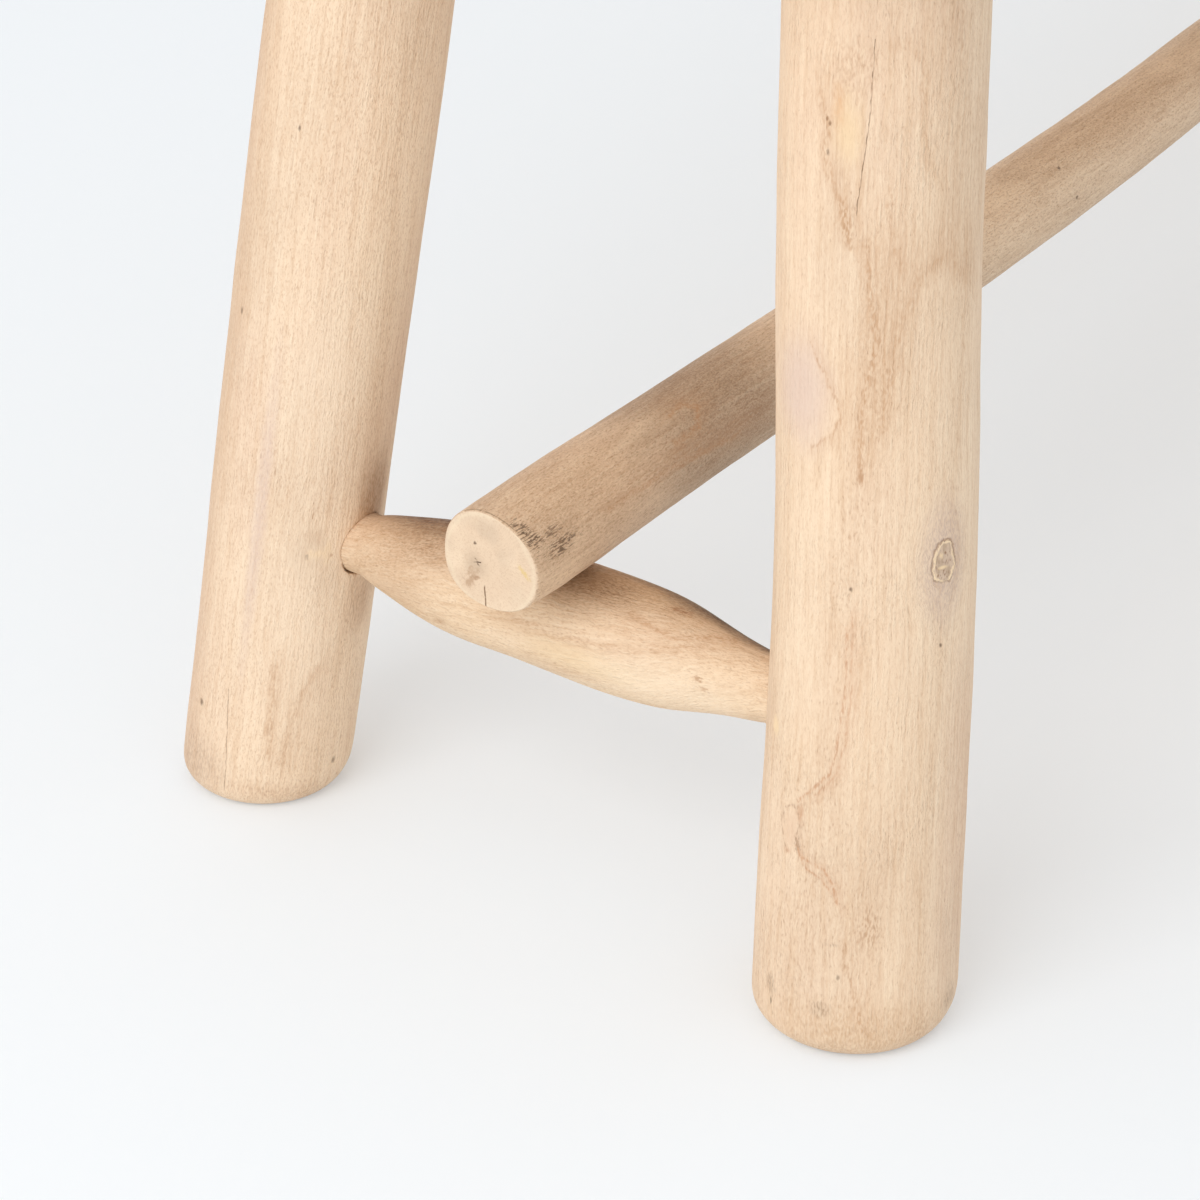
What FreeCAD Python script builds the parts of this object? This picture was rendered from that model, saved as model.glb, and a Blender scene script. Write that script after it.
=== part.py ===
"""Rustic teak bench: a three-plank seat staked on four splayed, debarked poles.

Each end has a spindle-shaped cross stretcher whose shaved round tenons enter the two legs.
A long branch lies in shallow saddles on both cross stretchers and runs out past them.

Frame: millimetres, +Z up, +X along the bench, +Y towards its back.
The origin is on the floor, under the middle of the seat.
"""

import FreeCAD
import Part
import math
import os

Vector = FreeCAD.Vector

# Seat planks
SEAT_LENGTH = 1500.0
SEAT_HEIGHT = 455.0
PLANK_THICKNESS = 40.0
OUTER_PLANK_WIDTH = 119.0
MIDDLE_PLANK_WIDTH = 112.0
PLANK_CORNER_RADIUS = 16.0
PLANK_EDGE_RADIUS = 6.0
PLANK_JOINT_BEVEL = 1.2

# Loose tongues that join the planks edge to edge
SPLINE_THICKNESS = 8.0
SPLINE_WIDTH = 26.0
SPLINE_END_MARGIN = 60.0
SPLINE_CLEARANCE = 0.2

# Legs: where their axes meet the seat's underside, in from its end and out from the nearer plank
# joint, how far they splay from there to the floor, and how thick the poles are
LEG_INSET_FROM_END = 99.4
LEG_OFFSET_FROM_JOINT = 39.8
SPLAY_LENGTHWISE_DEG = 7.47
SPLAY_CROSSWISE_DEG = 4.92
LEG_RADIUS = 33.0
FOOT_EASING = 8.0
LEG_TENON_RADIUS = 20.0
LEG_TENON_CLEARANCE = 0.15

# Wedges that spread the leg tenons in the seat
WEDGE_LENGTH = 31.0
WEDGE_HEAD_THICKNESS = 6.5
WEDGE_TIP_THICKNESS = 2.0
WEDGE_CLEARANCE = 0.1

# Cross stretchers. The neck is the bare length of tenon between the leg's face and the swell.
CROSS_HEIGHT = 104.5
CROSS_BELLY_RADIUS = 20.9
CROSS_TENON_RADIUS = 11.5
CROSS_TENON_LENGTH = 41.0
CROSS_TENON_CLEARANCE = 0.2
CROSS_NECK = 3.0
CROSS_MORTISE_END_GAP = 0.6

# Long stretcher. It lies a little behind the bench's middle line.
LONG_RADIUS = 20.2
LONG_OFFSET = 2.6
LONG_OVERHANG = 42.0
LONG_END_EASING = 1.8
SADDLE_DEPTH = 1.0
SADDLE_CLEARANCE = 0.2

# Screws that hold the long stretcher down, and the plugs that hide their heads
SCREW_LENGTH = 50.0
SCREW_RADIUS = 2.5
SCREW_HEAD_RADIUS = 5.0
SCREW_HEAD_HEIGHT = 3.4
SCREW_TIP_LENGTH = 6.0
SCREW_CLEARANCE = 0.1
PLUG_RADIUS = 6.0
PLUG_DEPTH = 9.0
PLUG_CLEARANCE = 0.1

# How far a cutting tool runs past the face that it cuts
OVERRUN = 5.0

# Grown shape of the four poles, at stations along each leg from the floor to the seat.
# Girth is a share of the leg radius. Drift is how far the pole's middle strays from its straight
# axis, as a share of the leg radius, towards the bearing given for that leg.
LEG_STATION_SHARES = (0.0, 0.1, 0.22, 0.37, 0.52, 0.74, 1.0)
LEG_GIRTH_SHARES = {
    "front_left": (1.075, 1.062, 1.047, 1.018, 1.006, 1.004, 0.99),
    "back_left": (0.963, 0.967, 0.971, 0.98, 0.99, 0.981, 0.98),
    "front_right": (0.99, 1.0, 1.015, 1.02, 1.0, 0.985, 0.97),
    "back_right": (1.04, 1.03, 1.0, 0.985, 1.0, 1.01, 0.985),
}
LEG_OVAL_SHARES = {"front_left": 1.0, "back_left": 1.0, "front_right": 1.025, "back_right": 1.03}
LEG_DRIFT_SHARES = {
    "front_left": (-0.03, -0.01, 0.02, 0.05, 0.02, -0.02, -0.01),
    "back_left": (0.004, 0.006, 0.0, -0.01, -0.008, 0.004, 0.0),
    "front_right": (0.03, 0.015, -0.01, -0.045, -0.05, -0.02, 0.0),
    "back_right": (-0.02, 0.01, 0.035, 0.045, 0.04, 0.015, 0.0),
}
LEG_DRIFT_BEARINGS_DEG = {
    "front_left": -55.0,
    "back_left": -55.0,
    "front_right": 20.0,
    "back_right": 100.0,
}

# Spindle shape of the cross stretchers, from the front leg to the back leg, between the tenons.
# Stations are shares of the length between shoulders, and girth is the share of the way from the
# tenon's radius to the belly's.
CROSS_STATION_SHARES = (0.0, 0.035, 0.09, 0.16, 0.23, 0.3, 0.4, 0.5, 0.6, 0.7, 0.79, 0.87, 0.94, 1.0)
CROSS_GIRTH_SHARES = {
    "left": (0.0, 0.1, 0.25, 0.53, 0.81, 0.95, 1.0, 0.98, 0.95, 0.97, 0.85, 0.59, 0.31, 0.0),
    "right": (0.0, 0.09, 0.25, 0.48, 0.72, 0.89, 0.98, 1.0, 0.99, 0.91, 0.75, 0.5, 0.25, 0.0),
}

# Grown shape of the long stretcher. Stations are shares of the way from the left cross stretcher to
# the right one. Girth and backward drift are shares of its radius, with one more entry at each end
# for the sawn faces past the cross stretchers.
LONG_STATION_SHARES = (
    0.0, 0.045, 0.095, 0.16, 0.225, 0.28, 0.335, 0.39,
    0.47, 0.57, 0.69, 0.81, 0.92, 1.0,
)
LONG_GIRTH_SHARES = (
    1.0, 1.0, 0.975, 0.963, 0.947, 0.923, 0.898, 0.876,
    0.886, 0.9, 0.91, 0.89, 0.91, 0.96, 1.0, 0.99,
)
LONG_DRIFT_SHARES = (
    -0.01, 0.0, -0.005, -0.045, -0.055, -0.03, 0.045, 0.215,
    0.38, 0.49, 0.465, 0.29, 0.1, 0.02, 0.0, 0.0,
)

ENDS = {"left": -1, "right": 1}
SIDES = {"front": -1, "back": 1}

SEAT_UNDERSIDE = SEAT_HEIGHT - PLANK_THICKNESS
SEAT_DEPTH = MIDDLE_PLANK_WIDTH + 2 * OUTER_PLANK_WIDTH
LEAN_LENGTHWISE = math.tan(math.radians(SPLAY_LENGTHWISE_DEG))
LEAN_CROSSWISE = math.tan(math.radians(SPLAY_CROSSWISE_DEG))


def slab(low, high):
    """A block between two opposite corners."""
    size = high - low
    return Part.makeBox(size.x, size.y, size.z, low)


def room(low_z, high_z):
    """Everything over and past the bench's footprint between two heights, to trim pieces with."""
    reach_x = SEAT_LENGTH
    reach_y = SEAT_DEPTH
    return slab(Vector(-reach_x, -reach_y, low_z), Vector(reach_x, reach_y, high_z))


def oval(centre, long_way, short_way, long_radius, short_radius):
    """A closed oval round a point, with its long and its short radius along two square directions."""
    curve = Part.Ellipse(Vector(), long_radius, short_radius).toShape()
    turn = FreeCAD.Rotation(long_way, short_way, long_way.cross(short_way), "ZXY")
    curve.Placement = FreeCAD.Placement(centre, turn)
    return Part.Wire(curve)


def leg_lean(end, side):
    """Steps in X and Y that a leg's axis takes for each step up."""
    return Vector(-ENDS[end] * LEAN_LENGTHWISE, -SIDES[side] * LEAN_CROSSWISE, 1)


def leg_axis(end, side, height):
    """The point of a leg's straight axis at a height."""
    x = ENDS[end] * (SEAT_LENGTH / 2 - LEG_INSET_FROM_END)
    y = SIDES[side] * (MIDDLE_PLANK_WIDTH / 2 + LEG_OFFSET_FROM_JOINT)
    return Vector(x, y, SEAT_UNDERSIDE) + leg_lean(end, side) * (height - SEAT_UNDERSIDE)


def along_leg_tenon(radius, end, side, low_z, high_z):
    """A round bar on a leg's axis, cut level at two heights."""
    lean = leg_lean(end, side)
    start = leg_axis(end, side, low_z - radius)
    length = (high_z - low_z + 2 * radius) * lean.Length
    return Part.makeCylinder(radius, length, start, lean).common(room(low_z, high_z))


def wedge_blade(end, side, clearance, top_z):
    """The tapered blade across a leg tenon. It stands across the planks' grain."""
    up = leg_lean(end, side).normalize()
    across = Vector(0, 1, 0).cross(up).normalize()
    head = leg_axis(end, side, SEAT_HEIGHT)
    half_head = WEDGE_HEAD_THICKNESS / 2 + clearance
    half_tip = WEDGE_TIP_THICKNESS / 2 + clearance
    slope = (half_head - half_tip) / WEDGE_LENGTH
    rise = (top_z - SEAT_HEIGHT) + LEG_TENON_RADIUS
    half_top = half_head + slope * rise
    tip = head - up * (WEDGE_LENGTH + clearance)
    top = head + up * rise
    tip_corners = [tip - across * half_tip, tip + across * half_tip]
    corners = tip_corners + [top + across * half_top, top - across * half_top]
    width = up.cross(across) * (2 * LEG_TENON_RADIUS)
    outline = Part.makePolygon([corner - width for corner in corners + corners[:1]])
    return Part.Face(outline).extrude(width * 2)


def leg_body(end, side):
    """The pole from the floor to the seat: lofted through level sections, eased round the foot."""
    name = f"{side}_{end}"
    bearing = math.radians(LEG_DRIFT_BEARINGS_DEG[name])
    drift_way = Vector(math.cos(bearing), math.sin(bearing), 0)
    across_way = Vector(-math.sin(bearing), math.cos(bearing), 0)
    sections = []
    stations = zip(LEG_STATION_SHARES, LEG_GIRTH_SHARES[name], LEG_DRIFT_SHARES[name])
    for station, girth, drift in stations:
        centre = leg_axis(end, side, station * SEAT_UNDERSIDE) + drift_way * (drift * LEG_RADIUS)
        radius = girth * LEG_RADIUS
        sections.append(oval(centre, drift_way, across_way, radius * LEG_OVAL_SHARES[name], radius))
    pole = Part.makeLoft(sections, True, False)
    foot_edges = [edge for edge in pole.Edges if edge.BoundBox.ZMax < FOOT_EASING / 2]
    return pole.makeFillet(FOOT_EASING, foot_edges)


def cross_axis_x(end):
    """Where a cross stretcher crosses the bench's length: in the plane of its two legs."""
    return leg_axis(end, "front", CROSS_HEIGHT).x


def cross_half_span():
    """Half the distance between the axes of two facing legs at the cross stretcher's height."""
    return leg_axis("left", "back", CROSS_HEIGHT).y


def cross_shoulder():
    """How far from the bench's middle a cross stretcher's tenon begins: just short of the leg."""
    return cross_half_span() - LEG_RADIUS - CROSS_NECK


def cross_mortise(end, side):
    """The blind round hole that a leg has for a cross stretcher's tenon."""
    depth = CROSS_TENON_LENGTH + CROSS_MORTISE_END_GAP
    start_y = cross_shoulder() - LEG_RADIUS
    start = Vector(cross_axis_x(end), SIDES[side] * start_y, CROSS_HEIGHT)
    radius = CROSS_TENON_RADIUS + CROSS_TENON_CLEARANCE
    return Part.makeCylinder(radius, LEG_RADIUS + depth, start, Vector(0, SIDES[side], 0))


def make_leg(end, side):
    """One leg: the pole, its through tenon with the wedge's kerf, and the stretcher's mortise."""
    overlap = LEG_TENON_RADIUS
    tenon = along_leg_tenon(LEG_TENON_RADIUS, end, side, SEAT_UNDERSIDE - overlap, SEAT_HEIGHT)
    leg = leg_body(end, side).fuse(tenon)
    leg = leg.cut(wedge_blade(end, side, WEDGE_CLEARANCE, SEAT_HEIGHT + OVERRUN))
    return leg.cut(cross_mortise(end, side))


def make_wedge(end, side):
    """The wedge in a leg tenon, as wide as the tenon and level with the seat."""
    blade = wedge_blade(end, side, 0, SEAT_HEIGHT)
    return blade.common(along_leg_tenon(LEG_TENON_RADIUS, end, side, SEAT_UNDERSIDE, SEAT_HEIGHT))


def cross_blank(end):
    """A cross stretcher before its saddle and holes: the spindle between two round tenons."""
    shoulder = cross_shoulder()
    x = cross_axis_x(end)
    swell = CROSS_BELLY_RADIUS - CROSS_TENON_RADIUS
    sections = []
    for station, girth in zip(CROSS_STATION_SHARES, CROSS_GIRTH_SHARES[end]):
        centre = Vector(x, shoulder * (2 * station - 1), CROSS_HEIGHT)
        circle = Part.makeCircle(CROSS_TENON_RADIUS + swell * girth, centre, Vector(0, 1, 0))
        sections.append(Part.Wire(circle))
    spindle = Part.makeLoft(sections, True, False)
    for side in SIDES.values():
        start = Vector(x, side * shoulder, CROSS_HEIGHT)
        tenon = Part.makeCylinder(CROSS_TENON_RADIUS, CROSS_TENON_LENGTH, start, Vector(0, side, 0))
        spindle = spindle.fuse(tenon)
    return spindle


def long_height():
    """Height of the long stretcher's axis, which lies in the saddles."""
    return CROSS_HEIGHT + CROSS_BELLY_RADIUS + LONG_RADIUS - SADDLE_DEPTH


def screw_head_z():
    """Height of a screw's head: past its plug, inside the cross stretcher's underside."""
    return CROSS_HEIGHT - CROSS_BELLY_RADIUS + PLUG_DEPTH


def screw_profile(end, clearance):
    """A countersunk screw as a turned solid, head down, with its point up in the long stretcher."""
    z = screw_head_z() - clearance
    tip_z = screw_head_z() + SCREW_LENGTH + clearance
    radius = SCREW_RADIUS + clearance
    head = SCREW_HEAD_RADIUS + clearance
    points = [
        Vector(0, 0, z),
        Vector(head, 0, z),
        Vector(radius, 0, z + SCREW_HEAD_HEIGHT),
        Vector(radius, 0, tip_z - SCREW_TIP_LENGTH),
        Vector(0, 0, tip_z),
    ]
    face = Part.Face(Part.makePolygon(points + points[:1]))
    turned = face.revolve(Vector(0, 0, 0), Vector(0, 0, 1), 360)
    turned.translate(Vector(cross_axis_x(end), LONG_OFFSET, 0))
    return turned


def plug_bore(end, radius):
    """A round bar up from under a cross stretcher to the screw's head."""
    low_z = CROSS_HEIGHT - CROSS_BELLY_RADIUS - OVERRUN
    start = Vector(cross_axis_x(end), LONG_OFFSET, low_z)
    return Part.makeCylinder(radius, screw_head_z() - SCREW_CLEARANCE - low_z, start)


def make_cross_stretcher(end):
    """A cross stretcher with the saddle for the long stretcher and the screw's hole."""
    reach = 2 * CROSS_BELLY_RADIUS
    start = Vector(cross_axis_x(end) - reach, LONG_OFFSET, long_height())
    saddle = Part.makeCylinder(LONG_RADIUS + SADDLE_CLEARANCE, 2 * reach, start, Vector(1, 0, 0))
    body = cross_blank(end).cut(saddle)
    body = body.cut(screw_profile(end, SCREW_CLEARANCE))
    return body.cut(plug_bore(end, PLUG_RADIUS))


def make_screw(end):
    """The screw through a cross stretcher into the long one."""
    return screw_profile(end, 0)


def make_plug(end):
    """The wooden plug over a screw's head, trimmed flush with the cross stretcher."""
    return plug_bore(end, PLUG_RADIUS - PLUG_CLEARANCE).common(cross_blank(end))


def make_long_stretcher():
    """The long branch: lofted along the bench, sawn square and eased at its two ends."""
    cross_x = cross_axis_x("right")
    end_x = cross_x + LONG_OVERHANG
    between = [(2 * share - 1) * cross_x for share in LONG_STATION_SHARES]
    stations = [-end_x, *between, end_x]
    sections = []
    for x, girth, drift in zip(stations, LONG_GIRTH_SHARES, LONG_DRIFT_SHARES):
        centre = Vector(x, LONG_OFFSET + drift * LONG_RADIUS, long_height())
        radius = girth * LONG_RADIUS
        sections.append(Part.Wire(Part.makeCircle(radius, centre, Vector(1, 0, 0))))
    branch = Part.makeLoft(sections, True, False)
    end_edges = [edge for edge in branch.Edges if edge.BoundBox.XLength < LONG_END_EASING]
    branch = branch.makeFillet(LONG_END_EASING, end_edges)
    for end in ENDS:
        branch = branch.cut(screw_profile(end, SCREW_CLEARANCE))
    return branch


def plank_blank(side):
    """A plank with its outer corners rounded in plan. Side 0 is the middle plank."""
    half_length = SEAT_LENGTH / 2
    inner = MIDDLE_PLANK_WIDTH / 2
    if side == 0:
        return slab(Vector(-half_length, -inner, SEAT_UNDERSIDE), Vector(half_length, inner, SEAT_HEIGHT))
    outer = inner + OUTER_PLANK_WIDTH
    low_y = min(side * inner, side * outer)
    high_y = max(side * inner, side * outer)
    block = slab(Vector(-half_length, low_y, SEAT_UNDERSIDE), Vector(half_length, high_y, SEAT_HEIGHT))
    corners = [
        edge
        for edge in block.Edges
        if edge.BoundBox.ZLength > PLANK_THICKNESS / 2 and edge.CenterOfMass.y * side > (inner + outer) / 2
    ]
    return block.makeFillet(PLANK_CORNER_RADIUS, corners)


def along_joint(edge, side):
    """Whether an edge lies in the face of one of a plank's glue joints."""
    inner = MIDDLE_PLANK_WIDTH / 2
    joint_lines = (-inner, inner) if side == 0 else (side * inner,)
    box = edge.BoundBox
    return any(abs(box.YMin - y) + abs(box.YMax - y) < PLANK_JOINT_BEVEL for y in joint_lines)


def ease_plank(plank, side):
    """Rounds a plank's outer edges and bevels the edges along its glue joints."""
    level = [edge for edge in plank.Edges if edge.BoundBox.ZLength < PLANK_THICKNESS / 2]
    rounded = plank.makeFillet(PLANK_EDGE_RADIUS, [edge for edge in level if not along_joint(edge, side)])
    long_edges = [edge for edge in rounded.Edges if edge.BoundBox.XLength > SEAT_LENGTH / 2]
    return rounded.makeChamfer(PLANK_JOINT_BEVEL, [edge for edge in long_edges if along_joint(edge, side)])


def spline_block(side, clearance):
    """The loose tongue in the joint on one side of the middle plank, or its grooves."""
    half_length = SEAT_LENGTH / 2 - SPLINE_END_MARGIN + clearance
    half_width = SPLINE_WIDTH / 2 + clearance
    half_thickness = SPLINE_THICKNESS / 2 + clearance
    joint_y = side * MIDDLE_PLANK_WIDTH / 2
    middle_z = (SEAT_HEIGHT + SEAT_UNDERSIDE) / 2
    low = Vector(-half_length, joint_y - half_width, middle_z - half_thickness)
    high = Vector(half_length, joint_y + half_width, middle_z + half_thickness)
    return slab(low, high)


def leg_mortises():
    """The four slanted round holes through the seat."""
    radius = LEG_TENON_RADIUS + LEG_TENON_CLEARANCE
    low_z = SEAT_UNDERSIDE - OVERRUN
    high_z = SEAT_HEIGHT + OVERRUN
    return [along_leg_tenon(radius, end, side, low_z, high_z) for end in ENDS for side in SIDES]


def make_plank(side):
    """A seat plank with its grooves and the leg mortises that fall in it."""
    plank = ease_plank(plank_blank(side), side)
    for spline_side in SIDES.values():
        plank = plank.cut(spline_block(spline_side, SPLINE_CLEARANCE))
    for mortise in leg_mortises():
        plank = plank.cut(mortise)
    return plank


def make_spline(side):
    """A loose tongue between two planks."""
    spline = spline_block(side, 0)
    for mortise in leg_mortises():
        spline = spline.cut(mortise)
    return spline


def all_pieces():
    """Every piece of the bench by its name."""
    pieces = {
        "seat_plank_front": make_plank(SIDES["front"]),
        "seat_plank_middle": make_plank(0),
        "seat_plank_back": make_plank(SIDES["back"]),
        "long_stretcher": make_long_stretcher(),
    }
    for side, way in SIDES.items():
        pieces[f"seat_spline_{side}"] = make_spline(way)
    for end in ENDS:
        pieces[f"cross_stretcher_{end}"] = make_cross_stretcher(end)
        pieces[f"stretcher_screw_{end}"] = make_screw(end)
        pieces[f"screw_plug_{end}"] = make_plug(end)
        for side in SIDES:
            pieces[f"leg_{side}_{end}"] = make_leg(end, side)
            pieces[f"leg_wedge_{side}_{end}"] = make_wedge(end, side)
    return pieces


def main():
    """Builds the bench and writes one file for each piece."""
    os.makedirs("parts", exist_ok=True)
    for name, shape in all_pieces().items():
        shape.exportStep(f"parts/{name}.step")
        state = "valid" if shape.isValid() else "NOT VALID"
        print(f"{name}: {len(shape.Solids)} solid, {shape.Volume / 1000:.1f} cm3, {state}")


main()
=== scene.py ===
"""Dresses the rustic teak bench: debarked poles, whittled stretchers and a plank seat.

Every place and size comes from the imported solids. The poles are measured from them and made again as fine
meshes with their swells, knots and pits, and the planks are planed from their boxes and bored for the legs.
Lengths are in metres.
"""

import logging
import math
from dataclasses import dataclass, field, replace
from enum import Enum
from typing import Any, ClassVar, Mapping, Optional, Sequence, Union

import bpy
import numpy as np
from mathutils import Matrix, Vector
from mathutils.bvhtree import BVHTree


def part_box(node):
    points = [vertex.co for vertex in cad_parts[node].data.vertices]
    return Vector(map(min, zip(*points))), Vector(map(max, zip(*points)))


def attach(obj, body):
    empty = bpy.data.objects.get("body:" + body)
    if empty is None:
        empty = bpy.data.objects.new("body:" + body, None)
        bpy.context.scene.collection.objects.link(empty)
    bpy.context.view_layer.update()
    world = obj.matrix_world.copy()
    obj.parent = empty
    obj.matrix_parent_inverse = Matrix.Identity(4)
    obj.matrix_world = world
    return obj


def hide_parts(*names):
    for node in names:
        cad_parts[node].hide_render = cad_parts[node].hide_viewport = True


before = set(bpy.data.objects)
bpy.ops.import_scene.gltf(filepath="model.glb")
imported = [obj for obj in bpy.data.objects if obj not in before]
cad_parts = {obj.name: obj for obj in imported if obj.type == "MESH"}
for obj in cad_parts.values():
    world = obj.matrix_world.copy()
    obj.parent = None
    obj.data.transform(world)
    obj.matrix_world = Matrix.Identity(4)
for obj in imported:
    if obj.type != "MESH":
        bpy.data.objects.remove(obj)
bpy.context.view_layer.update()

LOG = logging.getLogger("bench")
MM = 0.001
BODY = "root"
TINY_PATCH = 0.004
SMALL_PATCH = 0.009
POLE_SHARP = 38.0
PLANK_SHARP = 30.0

Socket = bpy.types.NodeSocket
Piece = bpy.types.Object
Pair = tuple[float, float]
Colour = tuple[float, float, float, float]
Feed = Union[Socket, float, Sequence[float]]
Sockets = Mapping[str, Socket]


def tone(red: int, green: int, blue: int) -> Colour:
    """Turns screen values into a linear colour.

    Args:
        red: Red from 0 to 255.
        green: Green from 0 to 255.
        blue: Blue from 0 to 255.

    Returns:
        The linear colour with full opacity.
    """
    values = []
    for level in (red, green, blue):
        share = level / 255
        values.append(share / 12.92 if share <= 0.04045 else ((share + 0.055) / 1.055) ** 2.4)
    return (values[0], values[1], values[2], 1.0)


def ease(values: np.ndarray, low: float, high: float) -> np.ndarray:
    """Rises smoothly from 0 at low to 1 at high."""
    share = np.clip((values - low) / (high - low), 0, 1)
    return share * share * (3 - 2 * share)


class Side(Enum):
    """The long sides of the bench."""

    FRONT = "front"
    BACK = "back"


class End(Enum):
    """The ends of the bench."""

    LEFT = "left"
    RIGHT = "right"


class Wrap(Enum):
    """How a surface is laid out for its marks."""

    ROUND = "round a pole"
    FLAT = "over a plank"
    CUT = "across a sawn end"


class Kind(Enum):
    """Sockets of a node group."""

    VALUE = "NodeSocketFloat"
    VECTOR = "NodeSocketVector"

    def named(self, *names: str) -> dict[str, "Kind"]:
        """Gives sockets of this kind by name."""
        return dict.fromkeys(names, self)


class Graph:
    """A node tree, with a short call for each node that the finishes use."""

    per_row: ClassVar[int] = 12
    step: ClassVar[tuple[int, int]] = (180, -220)

    def __init__(self, tree: bpy.types.NodeTree) -> None:
        """Takes the tree to build in."""
        self.tree = tree

    @classmethod
    def of(cls, owner: Union[bpy.types.Material, bpy.types.World]) -> "Graph":
        """Clears the nodes of a material or the world.

        Args:
            owner: What the nodes belong to.

        Returns:
            Its empty graph.
        """
        owner.use_nodes = True
        owner.node_tree.nodes.clear()
        return cls(owner.node_tree)

    def add(self, kind: str, **settings: Any) -> bpy.types.Node:
        """Adds a node.

        Args:
            kind: The node's type name.
            settings: Properties to set on it.

        Returns:
            The node.
        """
        node = self.tree.nodes.new(kind)
        for name, value in settings.items():
            setattr(node, name, value)
        row, column = divmod(len(self.tree.nodes), self.per_row)
        node.location = (self.step[0] * column, self.step[1] * row)
        return node

    def feed(self, socket: Socket, value: Feed) -> None:
        """Links a socket to an input, or sets the input's own value.

        Args:
            socket: The input.
            value: A socket to link, or a constant.
        """
        if isinstance(value, Socket):
            self.tree.links.new(value, socket)
        else:
            socket.default_value = value

    def fill(self, node: bpy.types.Node, **values: Feed) -> None:
        """Feeds inputs by name, with the spaces in their names as underscores."""
        for name, value in values.items():
            self.feed(node.inputs[name.replace("_", " ")], value)

    def math(self, operation: str, *values: Feed) -> Socket:
        """Adds a Math node.

        Args:
            operation: Its operation.
            values: Its inputs in order.

        Returns:
            The result.
        """
        node = self.add("ShaderNodeMath", operation=operation)
        for socket, value in zip(node.inputs, values):
            self.feed(socket, value)
        return node.outputs[0]

    def times(self, first: Feed, second: Feed) -> Socket:
        """Multiplies two values."""
        return self.math("MULTIPLY", first, second)

    def over(self, first: Feed, second: Feed) -> Socket:
        """Divides one value by another."""
        return self.math("DIVIDE", first, second)

    def less(self, first: Feed, second: Feed) -> Socket:
        """Takes one value from another."""
        return self.math("SUBTRACT", first, second)

    def onto(self, value: Feed, share: Feed, base: Feed) -> Socket:
        """Adds a share of a value to a base."""
        return self.math("MULTIPLY_ADD", value, share, base)

    def vector(self, operation: str, *values: Feed) -> Socket:
        """Adds a Vector Math node.

        Args:
            operation: Its operation.
            values: Its vector inputs in order.

        Returns:
            The vector, or the value for a length, distance or dot product.
        """
        node = self.add("ShaderNodeVectorMath", operation=operation)
        for socket, value in zip(node.inputs, values):
            self.feed(socket, value)
        plain = operation in ("LENGTH", "DISTANCE", "DOT_PRODUCT")
        return node.outputs["Value" if plain else "Vector"]

    def scaled(self, vector: Feed, share: Feed) -> Socket:
        """Scales a vector by one value.

        Args:
            vector: The vector.
            share: The value to scale it by.

        Returns:
            The scaled vector.
        """
        node = self.add("ShaderNodeVectorMath", operation="SCALE")
        self.feed(node.inputs[0], vector)
        self.feed(node.inputs["Scale"], share)
        return node.outputs["Vector"]

    def split(self, vector: Feed) -> tuple[Socket, ...]:
        """Splits a vector.

        Args:
            vector: The vector.

        Returns:
            Its three values.
        """
        node = self.add("ShaderNodeSeparateXYZ")
        self.feed(node.inputs[0], vector)
        return tuple(node.outputs)

    def join(self, *values: Feed) -> Socket:
        """Joins values into a vector.

        Args:
            values: Its three values in order.

        Returns:
            The vector.
        """
        node = self.add("ShaderNodeCombineXYZ")
        for socket, value in zip(node.inputs, values):
            self.feed(socket, value)
        return node.outputs[0]

    def rise(self, value: Feed, low: Feed, high: Feed, first: float = 0, last: float = 1) -> Socket:
        """Maps a value smoothly between two limits.

        Args:
            value: The value.
            low: Where the rise starts.
            high: Where it ends.
            first: The result at the start.
            last: The result at the end.

        Returns:
            The mapped value.
        """
        node = self.add("ShaderNodeMapRange", interpolation_type="SMOOTHSTEP")
        self.fill(node, Value=value, From_Min=low, From_Max=high, To_Min=first, To_Max=last)
        return node.outputs[0]

    def fall(self, value: Feed, low: Feed, high: Feed) -> Socket:
        """Maps a value smoothly from 1 at one limit to 0 at the other."""
        return self.rise(value, low, high, 1, 0)

    def noise(self, vector: Feed, scale: float = 1, detail: float = 2, rough: float = 0.5) -> Socket:
        """Adds a Noise Texture.

        Args:
            vector: Where it is read.
            scale: Its scale.
            detail: How many finer layers it has.
            rough: How strong those layers are.

        Returns:
            Its value, about 0.5 on average.
        """
        node = self.add("ShaderNodeTexNoise", noise_dimensions="3D")
        self.fill(node, Vector=vector, Scale=scale, Detail=detail, Roughness=rough)
        return node.outputs[0]

    def sway(self, vector: Feed, scale: float = 1, detail: float = 2, rough: float = 0.5) -> Socket:
        """Adds a Noise Texture that is about zero on average."""
        return self.less(self.noise(vector, scale, detail, rough), 0.5)

    def mix(self, share: Feed, first: Feed, second: Feed) -> Socket:
        """Mixes two colours.

        Args:
            share: How much of the second shows.
            first: The first colour.
            second: The second colour.

        Returns:
            The mixed colour.
        """
        node = self.add("ShaderNodeMix", data_type="RGBA", clamp_factor=True)
        self.feed(node.inputs[0], share)
        self.feed(node.inputs[6], first)
        self.feed(node.inputs[7], second)
        return node.outputs[2]

    def place(self, effect: type["Effect"], **feeds: Feed) -> Sockets:
        """Places a shared effect.

        Args:
            effect: The effect's class.
            feeds: A value for each input, with spaces in its name as underscores.

        Returns:
            The effect's outputs by name.
        """
        node = self.add("ShaderNodeGroup", node_tree=effect.tree())
        self.fill(node, **feeds)
        return {socket.name: socket for socket in node.outputs}


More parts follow.
